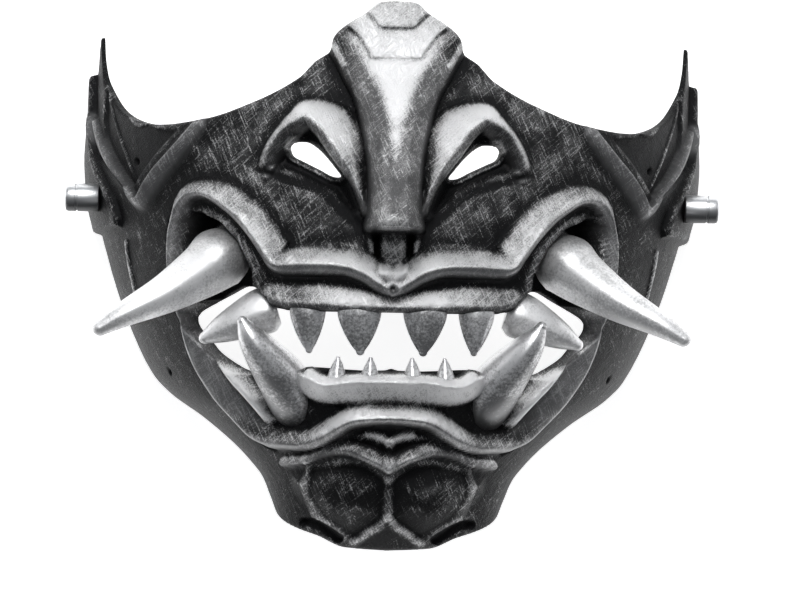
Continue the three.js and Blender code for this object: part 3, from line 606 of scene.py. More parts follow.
def face_point(turn, y, lift):
    """The point of the face at a turn from -1 to 1 and a height y, lifted off the plain face."""
    width, depth, rear = face_section(y)
    angle = turn * math.pi / 2
    out, front = depth * np.sin(angle), width * np.cos(angle)
    length = np.hypot(out, front)
    x = width * np.sin(angle) + lift * out / length
    z = rear + depth * np.cos(angle) + lift * front / length
    return np.stack([x, y + 0 * x, z], -1)


def spline(points, steps):
    """A smooth line through points, with that many steps between two of them."""
    padded = np.vstack([points[:1], points, points[-1:]])
    t = (np.arange(steps) / steps)[:, None]
    parts = []
    for a, b, c, d in zip(padded, padded[1:], padded[2:], padded[3:]):
        leave, arrive = (c - a) / 2, (d - b) / 2
        parts.append(
            (2 * b - 2 * c + leave + arrive) * t**3
            + (3 * c - 3 * b - 2 * leave - arrive) * t**2
            + leave * t
            + b
        )
    return np.vstack(parts + [points[-1:]])


def face_line(rows, steps=6):
    """A table's across and up columns as a smooth line in millimetres, and each point's row place."""
    points = np.stack([rows["across"] * GIRTH, rows["up"] * HALF_HEIGHT], -1)
    return spline(points, steps), np.arange(steps * (len(points) - 1) + 1) / steps


def nearest(line, x, y, reach):
    """Distance, side (1 to the left of travel) and place of the nearest point of a line, within reach."""
    distance = np.full(x.shape, np.inf)
    side = np.ones(x.shape)
    place = np.zeros(x.shape)
    low, high = line.min(0) - reach, line.max(0) + reach
    near = (x > low[0]) & (x < high[0]) & (y > low[1]) & (y < high[1])
    px, py = x[near], y[near]
    best, turned, where = np.full(px.shape, np.inf), np.ones(px.shape), np.zeros(px.shape)
    for i, (a, b) in enumerate(zip(line, line[1:])):
        dx, dy = b - a
        t = np.clip(((px - a[0]) * dx + (py - a[1]) * dy) / (dx * dx + dy * dy + 1e-12), 0, 1)
        gap = np.hypot(px - a[0] - t * dx, py - a[1] - t * dy)
        closer = gap < best
        best = np.where(closer, gap, best)
        turned = np.where(closer, np.sign(dx * (py - a[1]) - dy * (px - a[0])), turned)
        where = np.where(closer, i + t, where)
    distance[near], side[near], place[near] = best, np.where(turned == 0, 1, turned), where
    return distance, side, place


Ridge = namedtuple("Ridge", "rise facet band bare")


def ridge(rows, spread, height, x, y, soft=False):
    """A ridge's height, how far a place lies on its facet and on its rounded band, and its silver."""
    line, _ = face_line(rows)
    steps = (len(line) - 1) / (len(rows["up"]) - 1)
    reach = spread * max(rows["outer"].max(), rows["inner"].max())
    distance, side, place = nearest(line, x, y, reach)
    row = np.arange(len(rows["up"]))
    at = place / steps
    value = {key: np.interp(at, row, rows[key]) for key in ("outer", "inner", "rise", "lit", "bare")}
    share = np.clip(distance / (spread * np.where(side > 0, value["outer"], value["inner"])), 0, 1)
    facet = np.where(side > 0, value["lit"], 1 - value["lit"])
    slope = 1 - 0.75 * share - 0.25 * share**4
    roll = np.where(side > 0, np.sqrt(1 - share**2), (1 - share**2) ** 1.5) if soft else np.sqrt(1 - share**2)
    inside = (share < 1).astype(float)
    foot = smoothstep(1, 0.8, share)
    rise = height * value["rise"] * (facet * slope + (1 - facet) * roll) * inside
    return Ridge(rise, facet * foot, (1 - facet) * foot, value["bare"] * foot)


def outline_depth(corners, x, y, reach=8.0):
    """How deep a place lies inside a closed outline, in millimetres, and below 0 outside it."""
    closed = np.vstack([corners, corners[:1]])
    distance, _, _ = nearest(closed, x, y, reach)
    inside = np.zeros(x.shape, bool)
    for a, b in zip(closed, closed[1:]):
        crosses = (a[1] > y) != (b[1] > y)
        run = (b[0] - a[0]) * (y - a[1]) / (b[1] - a[1] + 1e-12) + a[0]
        inside ^= crosses & (x < run)
    return np.where(inside, distance, -np.minimum(distance, reach))


def field(rows, x, y, softness):
    """1 well inside a field, 0 outside it."""
    corners = np.stack([rows["across"] * GIRTH, rows["up"] * HALF_HEIGHT], -1)
    return smoothstep(0, softness, outline_depth(corners, x, y))


def nose(x, y):
    """The nose's height, and how far a place lies in from its foot."""
    up = y / HALF_HEIGHT
    flat = NOSE_HALF_WIDTH * follow(NOSE, "up", "flat", up)
    foot = NOSE_HALF_WIDTH * follow(NOSE, "up", "foot", up)
    rise = NOSE_RISE * follow(NOSE, "up", "rise", up)
    share = np.clip((x - flat) / (foot - flat), 0, 1)
    on = (up > NOSE["up"][0]) & (share < 1)
    height = np.where(on, rise * np.cos(share * math.pi / 2) ** 0.8, 0)
    return height, np.where(on, 1 - share, 0)


def nose_painted_highlight(x, up, inward):
    """The nose's tone, partly brushed silver and partly painted light: a painted highlight along its lit top
    and painted shade on its sides.
    """
    half = follow(NOSE_PAINTED_HIGHLIGHT, "up", "half", up)
    blend = 0.06 + 0.25 * half
    painted_highlight = smoothstep(half + blend, half - blend, x / NOSE_HALF_WIDTH)
    # Painted shade: the nose's sides below the brow are painted a little darker.
    side = -0.1 * smoothstep(0.02, 0.2, inward) * smoothstep(0.95, 0.85, up)
    return side + (follow(NOSE_PAINTED_HIGHLIGHT, "up", "tone", up) - side) * painted_highlight


# Grids


def box_blur(values, cells):
    """Three passes of a box blur, about cells wide each way."""
    out = values
    size = 2 * cells + 1
    for _ in range(3):
        for axis in (0, 1):
            pad = [(0, 0), (0, 0)]
            pad[axis] = (cells + 1, cells)
            total = np.cumsum(np.pad(out, pad, mode="edge"), axis)
            out = np.take(total, np.arange(size, total.shape[axis]), axis) - np.take(
                total, np.arange(0, total.shape[axis] - size), axis
            )
            out = out / size
    return out


def lowest_near(values, cells):
    """The lowest value within some cells each way."""
    out = values
    for axis in (0, 1):
        pad = [(0, 0), (0, 0)]
        pad[axis] = (cells, cells)
        wide = np.pad(out, pad, mode="edge")
        length = out.shape[axis]
        out = np.min([np.take(wide, np.arange(k, k + length), axis) for k in range(2 * cells + 1)], 0)
    return out


def grain(shape, cells, seed):
    """Smooth random values from -1 to 1, with grains some cells wide each way."""
    noise = np.random.default_rng(seed).standard_normal(shape)
    out = box_blur(noise, cells)
    return np.clip(out / (2.5 * out.std()), -1, 1)


def relief(x, y):
    """Every ridge and field of the skin over a half grid."""
    r = SimpleNamespace()
    r.lip = ridge(LIP, LIP_WIDTH, LIP_RISE, x, y)
    r.rim = ridge(SIDE_RIM, RIDGE_WIDTH, RIM_RISE, x, y)
    r.lid = ridge(LID, LID_WIDTH, LID_RISE, x, y)
    r.gum = ridge(GUM, RIDGE_WIDTH, GUM_RISE, x, y)
    r.lower_gum = ridge(LOWER_GUM, RIDGE_WIDTH, LOWER_GUM_RISE, x, y)
    r.fold = ridge(CHIN_FOLD, RIDGE_WIDTH, CHIN_RISE, x, y)
    r.cheek = ridge(CHEEK_RIDGE, RIDGE_WIDTH, CHEEK_RIDGE_RISE, x, y, soft=True)
    r.septum = ridge(SEPTUM, RIDGE_WIDTH, GUM_RISE, x, y)
    r.snout, r.snout_in = nose(x, y)
    r.plate = field(REAR_PLATE, x, y, STEP_WIDTH)
    r.panel = field(CHEEK_PANEL, x, y, STEP_WIDTH)
    r.chin = field(CHIN_PLATE, x, y, CHIN_SOFTNESS)
    r.recess = field(RECESS, x, y, STEP_WIDTH)
    r.socket = field(SOCKET, x, y, SOFT_STEP_WIDTH)
    r.lid_on = r.lid.rise > r.snout
    r.rim_on = r.rim.rise > r.lip.rise
    r.rolled = np.maximum(np.where(r.lid_on, r.lid.band, 0), r.gum.band)
    up = y / HALF_HEIGHT
    beside_mouth = smoothstep(-0.6, -0.45, up) * (up < 0.1) * (x / GIRTH > 0.3)
    r.side_band = 0.8 * r.lip.facet * beside_mouth * ~r.rim_on * (1 - r.recess)
    return r


def relief_lift(r):
    lift = REAR_PLATE_RISE * r.plate - PANEL_DEPTH * r.panel + CHIN_RISE * r.chin
    lift -= RECESS_DEPTH * r.recess + SOCKET_DEPTH * r.socket
    lift += np.max([r.lip.rise, r.rim.rise, r.lower_gum.rise], 0) + r.gum.rise
    lift += np.max([r.snout, r.lid.rise, r.septum.rise], 0) + np.maximum(r.fold.rise, r.cheek.rise)
    return lift


def silver_and_highlight_share(r, x, up):
    """How much silver shows: brushed on the facets, least at the rear and less towards the bottom, with the
    nose's painted highlight and painted shade.
    """
    front = smoothstep(0.75, 0.3, x / GIRTH)
    bare = -0.18 + 0.36 * front * smoothstep(-0.5, 0.2, up) + 0.3 * r.chin
    # On the nose, its painted highlight along the lit top and painted shade on the sides take over.
    bare += (nose_painted_highlight(x, up, r.snout_in) - bare) * smoothstep(0, 0.12, r.snout_in)
    mouth = np.where(r.rim_on, r.rim.bare * r.rim.rise / RIM_RISE, r.lip.facet * r.lip.bare)
    lid = np.where(r.lid_on, r.lid.facet * r.lid.bare, 0)
    gum, fold = r.gum.facet * r.gum.bare, r.fold.facet * r.fold.bare
    bare = np.max([bare, mouth * (1 - r.recess), lid, gum, fold, r.septum.bare, r.lower_gum.bare], 0)
    return bare * (1 - 0.8 * r.rolled)


def satin_share(r, up, bare):
    """How smooth and evenly grey the skin is: the rolled bands, and the lip beside the mouth."""
    nose_side = (r.snout_in > 0) * ~r.lid_on * smoothstep(0.85, 0.7, up)
    nose_side = 0.35 * nose_side * smoothstep(0.5, 0.3, bare) * smoothstep(0.1, 0.3, r.snout_in)
    bands = [np.where(r.rim_on, 0, r.lip.band), 0.45 * r.rolled, 0.7 * r.fold.band]
    return np.max([*bands, 0.6 * r.cheek.band, 0.6 * r.cheek.facet, nose_side, r.side_band], 0)


def ink_share(r):
    """How much dark wash lies in the hollows and creases."""
    hollow = np.sqrt(r.recess) * ((r.lip.rise < 1.2) | r.rim_on)
    creases = smoothstep(0.16, 0.0, r.snout_in) * (r.snout_in > 0) * ~r.lid_on
    socket = 0.4 * r.socket * (r.lid.rise < 0.3)
    return np.max([hollow, socket, 0.35 * r.panel, 0.15 * r.plate, 0.7 * creases], 0)


def skin(x, y):
    """Lift of the outer face over a half grid, and the share of silver (with the nose's painted highlight and
    shade), satin and ink on it.
    """
    up = y / HALF_HEIGHT
    r = relief(x, y)
    lift, bare, ink = relief_lift(r), silver_and_highlight_share(r, x, up), ink_share(r)
    satin = satin_share(r, up, bare)
    rim_rough = r.rim_on * (r.rim.rise > 0.3)
    rough_share = np.max([r.lip.facet * (1 - r.side_band), r.gum.facet, rim_rough, r.fold.facet], 0)
    for look, rows in FINE_LINES:
        line, _ = face_line(rows)
        distance, _, _ = nearest(line, x, y, look["half"])
        share = np.clip(distance / look["half"], 0, 1)
        height = np.where(share < 1, 1 - share**2, 0)
        lift += look["rise"] * height
        if look["rise"] > 0:
            bare = np.maximum(bare, look["bare"] * height)
            ink = np.minimum(ink, 1 - height)
        else:
            ink = np.maximum(ink, height)
    bare, satin, ink = (box_blur(look, 1) for look in (bare, satin, ink))
    rough = grain(x.shape, 1, SEED) + 0.7 * grain(x.shape, 3, SEED + 1)
    lift += GRAIN_RISE * rough * rough_share + FINE_GRAIN_RISE * rough * (1 - satin)
    return lift, bare, satin, ink


def half_grid():
    """Turn and height of the places of one half, and the way round from the middle."""
    columns = int(round(GIRTH / CELL))
    rows = int(round(2 * HALF_HEIGHT / CELL))
    turn, y = np.meshgrid(
        np.linspace(0, 1, columns + 1), np.linspace(-HALF_HEIGHT, HALF_HEIGHT, rows + 1), indexing="ij"
    )
    return turn, y, turn * quarter_girth(y)


def edge_depth(turn, y):
    """How far a place lies inside the shell's top and bottom edge, in millimetres."""
    girth = quarter_girth(y)
    step = 1e-3
    depths = []
    for rows, sign in ((TOP_EDGE, 1), (BOTTOM_EDGE, -1)):
        edge = HALF_HEIGHT * follow(rows, "turn", "up", turn)
        beyond = HALF_HEIGHT * follow(rows, "turn", "up", np.clip(turn + step, 0, 1))
        before = HALF_HEIGHT * follow(rows, "turn", "up", np.clip(turn - step, 0, 1))
        slope = (beyond - before) / (2 * step * girth)
        depths.append(sign * (edge - y) / np.hypot(1, slope))
    return np.minimum(*depths)


def rivet_depth(x, y):
    """How far a place lies outside the rivet holes, x being the way round from the middle."""
    places = zip(RIVETS["across"] * GIRTH, RIVETS["up"] * HALF_HEIGHT)
    return np.min([np.hypot(x - across, y - up) - RIVET_RADIUS for across, up in places], 0)


def open_depth(x, y):
    """How far a place seen from the front lies outside every cut opening, in millimetres."""
    depths = []
    for rows in (MOUTH, NOSTRIL):
        corners = np.stack([rows["x"] * HALF_WIDTH, rows["y"] * HALF_HEIGHT], -1)
        depths.append(-outline_depth(spline(np.vstack([corners, corners[:1]]), 5), x, y))
    return np.min(depths, 0)


def mirrored(half, flip=False):
    """A half grid joined with its mirror image across the middle."""
    other = half[:0:-1].copy()
    if flip:
        other[..., 0] *= -1
    return np.concatenate([other, half])


def shell_grids():
    """Outer and inner points, looks and depth inside the edges, over the whole shell."""
    turn, y, x = half_grid()
    lift, bare, satin, ink = skin(x, y)
    coarse = lowest_near(box_blur(lift, 2), 5)
    blade = smoothstep(*BLADE_UP, y / HALF_HEIGHT) * smoothstep(*BLADE_TURN, turn)
    wall = WALL + (THIN_WALL - WALL) * blade
    inner_lift = np.minimum(box_blur(coarse, 6) - wall, lift - THIN_WALL)
    outer, inner = face_point(turn, y, lift), face_point(turn, y, inner_lift)
    depth = np.min(
        [
            edge_depth(turn, y),
            rivet_depth(x, y),
            open_depth(outer[..., 0], y),
            open_depth(inner[..., 0], y),
        ],
        0,
    )
    near = np.clip(1 - depth / EDGE_ROUNDING, 0, 1)
    off_rim = np.abs(open_depth(outer[..., 0], y) - SLIT_RIM_HALF_WIDTH) / SLIT_RIM_HALF_WIDTH
    rim = (y > 0.3 * HALF_HEIGHT) * np.clip(1 - off_rim, 0, 1)
    lift = lift + SLIT_RIM_RISE * np.sqrt(rim)
    bare = np.maximum(bare, 0.45 * rim)
    outer = face_point(turn, y, lift - EDGE_ROUNDING * (1 - np.sqrt(1 - near**2)) * 0.8)
    rub = np.clip((lift - box_blur(lift, 3)) / 0.5, -1, 1)
    looks = np.stack([bare, satin, ink, rub], -1)
    depth = np.where(np.abs(depth) < 0.04, 0.04, depth)
    return mirrored(outer, True), mirrored(inner, True), mirrored(looks), mirrored(depth)


def clipped(values, depth):
    """The grid's triangles where depth is above 0, cut along its zero line, and the values there."""
    count = depth.size
    index = np.arange(count).reshape(depth.shape)
    a, b, c, d = index[:-1, :-1], index[1:, :-1], index[1:, 1:], index[:-1, 1:]
    faces = np.concatenate([np.stack([a, b, c], -1).reshape(-1, 3), np.stack([a, c, d], -1).reshape(-1, 3)])
    level, values = depth.ravel(), values.reshape(count, -1)
    inside = level[faces] > 0
    number = inside.sum(1)
    kept = [faces[number == 3]]
    cuts = []
    for wanted in (1, 2):
        chosen, flags = faces[number == wanted], inside[number == wanted]
        odd = np.argmax(flags == (wanted == 1), 1)
        rows = np.arange(len(chosen))
        cuts.append([chosen[rows, (odd + k) % 3] for k in range(3)])
    pairs = np.concatenate([np.stack([o, p], -1) for o, q, r in cuts for p in (q, r)])
    ends, place = np.unique(np.sort(pairs, 1), axis=0, return_inverse=True)
    place = place.ravel()
    share = level[ends[:, 0]] / (level[ends[:, 0]] - level[ends[:, 1]])
    added = values[ends[:, 0]] + share[:, None] * (values[ends[:, 1]] - values[ends[:, 0]])
    sizes = [len(cuts[0][0]), len(cuts[0][0]), len(cuts[1][0]), len(cuts[1][0])]
    q1, r1, q2, r2 = (part + count for part in np.split(place, np.cumsum(sizes)[:-1]))
    kept.append(np.stack([cuts[0][0], q1, r1], -1))
    kept.append(np.stack([q2, cuts[1][1], cuts[1][2]], -1))
    kept.append(np.stack([q2, cuts[1][2], r2], -1))
    faces = np.concatenate(kept)
    used, faces = np.unique(faces, return_inverse=True)
    return np.concatenate([values, added])[used], faces.reshape(-1, 3)


def shell_mesh():
    """The closed shell: outer skin, inner skin and the walls along every edge."""
    outer, inner, looks, depth = shell_grids()
    values, faces = clipped(np.concatenate([outer, inner, looks], -1), depth)
    count = len(values)
    edges = np.concatenate([faces[:, [0, 1]], faces[:, [1, 2]], faces[:, [2, 0]]])
    keys = np.sort(edges, 1)
    _, first, times = np.unique(keys, axis=0, return_index=True, return_counts=True)
    a, b = edges[first[times == 1]].T
    walls = np.concatenate([np.stack([b, a, a + count], -1), np.stack([b, a + count, b + count], -1)])
    inside = values[:, 6:].copy()
    inside[:] = (0.1, 0, 0.3, 0)
    points = np.concatenate([values[:, :3], values[:, 3:6]])
    looks = np.concatenate([values[:, 6:], inside])
    return points, np.concatenate([faces, faces[:, ::-1] + count, walls]), looks


# Meshes


def mesh_object(name, points, faces, looks=None):
    """A smooth mesh object from points in millimetres and triangles."""
    mesh = bpy.data.meshes.new(name)
    mesh.vertices.add(len(points))
    mesh.vertices.foreach_set("co", (points * MM).astype(np.float32).ravel())
    mesh.loops.add(faces.size)
    mesh.loops.foreach_set("vertex_index", faces.astype(np.int32).ravel())
    mesh.polygons.add(len(faces))
    mesh.polygons.foreach_set("loop_start", np.arange(0, faces.size, 3, dtype=np.int32))
    mesh.update(calc_edges=True)
    mesh.validate()
    if looks is not None:
        for column, word in enumerate(("bare", "satin", "ink", "rub")):
            layer = mesh.attributes.new(word, "FLOAT", "POINT")
            layer.data.foreach_set("value", looks[:, column].astype(np.float32))
    item = bpy.data.objects.new(name, mesh)
    bpy.context.scene.collection.objects.link(item)
    return item


def reduced(item, triangles):
    """The object with its mesh brought down to a number of triangles."""
    modifier = item.modifiers.new("reduce", "DECIMATE")
    modifier.ratio = min(1, triangles / len(item.data.polygons))
    modifier.use_collapse_triangulate = True
    graph = bpy.context.evaluated_depsgraph_get()
    mesh = bpy.data.meshes.new_from_object(item.evaluated_get(graph))
    item.modifiers.clear()
    item.data = mesh
    return item


def smooth(item, degrees):
    item.data.shade_smooth()
    item.data.set_sharp_from_angle(angle=math.radians(degrees))
    return item


def horn_mesh(stations, flatness, sides=48, steps=14, facets=4, facet_share=0.2, facet_turn=0.0):
    """A horn along a smooth line of softly faceted sections. stations: x, y, z and radius."""
    line = spline(stations, steps)
    centre, radius = line[:, :3], line[:, 3]
    along = np.gradient(centre, axis=0)
    along /= np.linalg.norm(along, axis=1)[:, None]
    tip_steps = 8
    roll = np.linspace(0, math.pi / 2, tip_steps + 1)[1:]
    tip = centre[-1] + along[-1] * radius[-1] * np.sin(roll)[:, None]
    centre = np.vstack([centre, tip])
    radius = np.concatenate([radius, radius[-1] * np.cos(roll)])
    along = np.vstack([along, np.repeat(along[-1:], tip_steps, 0)])
    depthward = np.array([0, 0, 1]) - along * along[:, 2:3]
    depthward /= np.linalg.norm(depthward, axis=1)[:, None]
    sideward = np.cross(along, depthward)
    angle = np.arange(sides) * 2 * math.pi / sides
    span = 2 * math.pi / facets
    flat = math.cos(span / 2) / np.cos((angle + facet_turn) % span - span / 2)
    shape = 1 + facet_share * (flat / flat.max() - 1)
    rings = (
        centre[:, None]
        + sideward[:, None] * (radius[:, None] * shape * np.cos(angle))[..., None]
        + depthward[:, None] * (radius[:, None] * shape * flatness * np.sin(angle))[..., None]
    )
    count = len(centre)
    points = np.vstack([rings[:-1].reshape(-1, 3), rings[-1].mean(0)[None], centre[:1]])
    tip_index, root_index = len(points) - 2, len(points) - 1
    s = np.arange(sides)
    following = (s + 1) % sides
    faces = []
    for i in range(count - 2):
        low, high = i * sides, (i + 1) * sides
        faces.append(np.stack([low + s, high + following, low + following], -1))
        faces.append(np.stack([low + s, high + s, high + following], -1))
    last = (count - 2) * sides
    faces.append(np.stack([last + following, last + s, 0 * s + tip_index], -1))
    faces.append(np.stack([s, following, 0 * s + root_index], -1))
    faces = np.concatenate(faces)
    a, b, c = (points[faces[:, k]] for k in range(3))
    volume = np.einsum("ij,ij->i", a, np.cross(b, c)).sum()
    return points, faces if volume > 0 else faces[:, ::-1]


def stations_of(rows, radius, side):
    return np.stack(
        [
            side * rows["x"] * HALF_WIDTH,
            rows["y"] * HALF_HEIGHT,
            rows["z"] * FACE_DEPTH,
            rows["size"] * radius,
        ],
        -1,
    )


def tooth_stations(rows, index, radius, side):
    along, size = TOOTH_PROFILE["along"], TOOTH_PROFILE["size"]
    x, lean, root, tip, z, width = (rows[key][index] for key in ("x", "lean", "root", "tip", "z", "width"))
    return np.stack(
        [
            side * (x + lean * along) * HALF_WIDTH,
            (root + (tip - root) * along) * HALF_HEIGHT,
            z * FACE_DEPTH + 0 * along,
            size * width * radius,
        ],
        -1,
    )


def peg_mesh(side):
    """A turned stud with a rounded shoulder, a neck line and a slightly domed end."""
    low, high = (np.array(corner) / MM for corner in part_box("side_peg_right"))
    radius, length = (high[1] - low[1]) / 2, high[0] - low[0]
    centre_y, centre_z = (high[1] + low[1]) / 2, (high[2] + low[2]) / 2
    rows = [(0, 0.001), (0, 0.96), (0.02, 1), (0.62, 1), (0.64, 0.93), (0.68, 0.93), (0.7, 1)]
    rows += [(0.9, 1), (0.955, 0.96), (0.985, 0.86), (0.995, 0.7), (1, 0.35), (1, 0.001)]
    profile = np.array(rows)
    sides = 64
    angle = np.arange(sides) * 2 * math.pi / sides
    x = low[0] + profile[:, :1] * length + 0 * angle
    y = centre_y + profile[:, 1:] * radius * np.cos(angle)
    z = centre_z + profile[:, 1:] * radius * np.sin(angle)
    points = np.stack([side * x, y, z], -1).reshape(-1, 3)
    s = np.arange(sides)
    following = (s + 1) % sides
    faces = []
    for i in range(len(profile) - 1):
        low_ring, high_ring = i * sides, (i + 1) * sides
        faces.append(np.stack([low_ring + s, low_ring + following, high_ring + following], -1))
        faces.append(np.stack([low_ring + s, high_ring + following, high_ring + s], -1))
    faces.append(np.stack([0 * s[1:-1], s[1:-1] + 1, s[1:-1]], -1))
    last = (len(profile) - 1) * sides
    faces.append(np.stack([last + 0 * s[1:-1], last + s[1:-1], last + s[1:-1] + 1], -1))
    faces = np.concatenate(faces)
    return points, faces if side > 0 else faces[:, ::-1]


# Materials


class Nodes:
    """A short way to build a node tree."""

    def __init__(self, name):
        self.material = bpy.data.materials.new(name)
        self.material.use_nodes = True
        self.tree = self.material.node_tree
        self.shader = self.tree.nodes["Principled BSDF"]

    def put(self, socket, value):
        if isinstance(value, bpy.types.NodeSocket):
            self.tree.links.new(value, socket)
        else:
            socket.default_value = value

    def add(self, kind, **inputs):
        node = self.tree.nodes.new(kind)
        for key, value in inputs.items():
            self.put(node.inputs[key.replace("_", " ")], value)
        return node

    def math(self, operation, a, b=0.0, clamp=False):
        node = self.tree.nodes.new("ShaderNodeMath")
        node.operation, node.use_clamp = operation, clamp
        self.put(node.inputs[0], a)
        self.put(node.inputs[1], b)
        return node.outputs[0]

    def attribute(self, name):
        node = self.tree.nodes.new("ShaderNodeAttribute")
        node.attribute_name = name
        return node.outputs["Fac"]

    def ramp(self, value, low, high, to_low=0.0, to_high=1.0):
        node = self.tree.nodes.new("ShaderNodeMapRange")
        node.interpolation_type = "SMOOTHSTEP"
        self.put(node.inputs["Value"], value)
        for key, number in (("From Min", low), ("From Max", high), ("To Min", to_low), ("To Max", to_high)):
            self.put(node.inputs[key], number)
        return node.outputs[0]

    def mix(self, share, a, b):
        node = self.tree.nodes.new("ShaderNodeMix")
        node.data_type = "RGBA"
        self.put(node.inputs[0], share)
        for socket, value in ((node.inputs[6], a), (node.inputs[7], b)):
            self.put(socket, (*value, 1) if isinstance(value, tuple) else value)
        return node.outputs[2]

    def noise(self, per_metre, detail=4.0, roughness=0.6, stretch=(1, 1, 1), turn=(0, 0, 0)):
        place = self.tree.nodes.new("ShaderNodeTexCoord").outputs["Object"]
        mapping = self.add("ShaderNodeMapping", Vector=place, Rotation=turn, Scale=[1 / s for s in stretch])
        mapping.vector_type = "TEXTURE"
        look = dict(Scale=per_metre, Detail=detail, Roughness=roughness)
        return self.add("ShaderNodeTexNoise", Vector=mapping.outputs[0], **look).outputs[0]

    def bump(self, height, distance, strength=1.0, normal=None):
        node = self.add("ShaderNodeBump", Height=height, Distance=distance, Strength=strength)
        if normal is not None:
            self.put(node.inputs["Normal"], normal)
        return node.outputs[0]


# INK_AND_PAINTED_SHADE is the dark wash of the hollows and also the colour of the painted shade on faces that
# look down.
INK_AND_PAINTED_SHADE = (0.012, 0.0122, 0.013)
SILVER = (0.84, 0.84, 0.845)
SATIN = (0.3, 0.3, 0.304)


def painted_underside_shade(n):
    """Painted shade on the faces that look down, away from the light above the brow: 1 where the normal
    points down, 0 where it points up.
    """
    geometry = n.tree.nodes.new("ShaderNodeNewGeometry")
    split = n.add("ShaderNodeSeparateXYZ", Vector=geometry.outputs["Normal"])
    return n.ramp(split.outputs["Y"], -0.75, 0.15, 1.0, 0.0)


def hairlines(n):
    """Long thin brush scratches that run two ways."""
    scratch = 0.0
    for angle, amount in ((24, 1.0), (-48, 0.9)):
        turn = (0, 0, math.radians(angle))
        streaks = n.noise(1250 + 2 * angle, 4, 0.65, stretch=(2, 0.1, 0.3), turn=turn)
        scratch = n.math("MAXIMUM", scratch, n.math("MULTIPLY", n.ramp(streaks, 0.48, 0.66), amount))
    return scratch


def antique_silver():
    """Dark cast metal, brushed with silver on its facets and edges, satin on its rolled bands, with the
    nose's painted highlight and painted shade on the faces that look down.
    """
    n = Nodes("antique_silver")
    bare, satin, ink, rub = (n.attribute(word) for word in ("bare", "satin", "ink", "rub"))
    fine = n.ramp(n.noise(2300, 4, 0.75), 0.28, 0.72)
    broad = n.noise(120, 5, 0.65)
    scratch = hairlines(n)
    level = n.math("ADD", n.math("MULTIPLY", fine, 0.55), n.math("MULTIPLY", scratch, 0.42))
    wear_and_painted_light = n.math("ADD", bare, n.math("MULTIPLY", rub, 0.25))
    wear_and_painted_light = n.math("SUBTRACT", wear_and_painted_light, n.math("MULTIPLY", ink, 0.45))
    wear_and_painted_light = n.math("ADD", wear_and_painted_light, n.math("MULTIPLY", n.math("SUBTRACT", broad, 0.5), 0.9))
    # Painted shade: a little less silver on the faces that look down.
    wear_and_painted_light = n.math("SUBTRACT", wear_and_painted_light, n.math("MULTIPLY", painted_underside_shade(n), 0.06))
    crisp = n.ramp(n.math("ADD", level, wear_and_painted_light), 0.55, 1.25)
    soft = n.ramp(wear_and_painted_light, 0.0, 1.1)
    silver_and_painted_light = n.math("ADD", n.math("MULTIPLY", crisp, 0.6), n.math("MULTIPLY", soft, 0.4))
    colour = n.mix(silver_and_painted_light, INK_AND_PAINTED_SHADE, SILVER)
    band = n.math("MULTIPLY", satin, n.ramp(ink, 0.9, 0.4), clamp=True)
    colour = n.mix(n.math("MULTIPLY", band, 0.7), colour, SATIN)
    n.put(n.shader.inputs["Base Color"], colour)
    n.shader.inputs["Metallic"].default_value = 0.9
    rough = n.math("SUBTRACT", 0.5, n.math("MULTIPLY", silver_and_painted_light, 0.08))
    rough = n.math("SUBTRACT", rough, n.math("MULTIPLY", band, 0.12))
    n.put(n.shader.inputs["Roughness"], rough)
    height = n.math("ADD", n.math("MULTIPLY", fine, 0.6), scratch)
    strength = n.math("SUBTRACT", 1, n.math("MULTIPLY", band, 0.85))
    n.put(n.shader.inputs["Normal"], n.bump(n.math("MULTIPLY", height, strength), 0.0002, 0.5))
    return n.material


def brushed_silver(name, tint, dark_share, roughness):
    """Cast silver with lengthwise brush streaks and darker stains, and painted shade on the faces that look
    down.
    """
    n = Nodes(name)
    fine = n.noise(1300, 5, 0.7)
    streaks = n.noise(700, 5, 0.7, stretch=(0.3, 1.6, 1), turn=(0, 0, math.radians(30)))
    broad = n.noise(70, 3, 0.6)
    stain_and_painted_shade = n.math("ADD", n.math("MULTIPLY", broad, 0.5), n.math("MULTIPLY", fine, 0.5))
    # Painted shade: the dark stain grows on the faces that look down.
    stain_and_painted_shade = n.math("ADD", stain_and_painted_shade, n.math("MULTIPLY", painted_underside_shade(n), 0.12))
    colour = n.mix(n.math("MULTIPLY", n.ramp(stain_and_painted_shade, 0.46, 0.66), dark_share), tint, INK_AND_PAINTED_SHADE)
    n.put(n.shader.inputs["Base Color"], colour)
    n.shader.inputs["Metallic"].default_value = 0.9
    n.put(n.shader.inputs["Roughness"], n.math("ADD", roughness, n.math("MULTIPLY", streaks, 0.16)))
    n.put(n.shader.inputs["Normal"], n.bump(n.math("ADD", fine, streaks), 0.00015, 0.3))
    return n.material


def polished_steel():
    n = Nodes("polished_steel")
    fine = n.noise(900, 4, 0.6, stretch=(6, 0.5, 0.5))
    colour = n.mix(n.math("MULTIPLY", fine, 0.4), (0.85, 0.86, 0.87), (0.5, 0.51, 0.53))
    # Painted shade: the steel is mixed nearly to black on the faces that look down.
    n.put(n.shader.inputs["Base Color"], n.mix(n.math("MULTIPLY", painted_underside_shade(n), 0.9), colour, INK_AND_PAINTED_SHADE))
    n.shader.inputs["Metallic"].default_value = 1.0
    n.put(n.shader.inputs["Roughness"], n.math("ADD", 0.26, n.math("MULTIPLY", fine, 0.14)))
    n.put(n.shader.inputs["Normal"], n.bump(fine, 0.0001, 0.4))
    return n.material


# The pieces


def add_piece(item, material, slot, *nodes):
    item.data.materials.clear()
    item.data.materials.append(material)
    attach(item, "root")
    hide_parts(*nodes)
    return item


def make_shell():
    points, faces, looks = shell_mesh()
    item = reduced(mesh_object("mask_shell_skin", points, faces, looks), SKIN_TRIANGLES)
    add_piece(smooth(item, 60), antique_silver(), "antique_silver", "mask_shell")


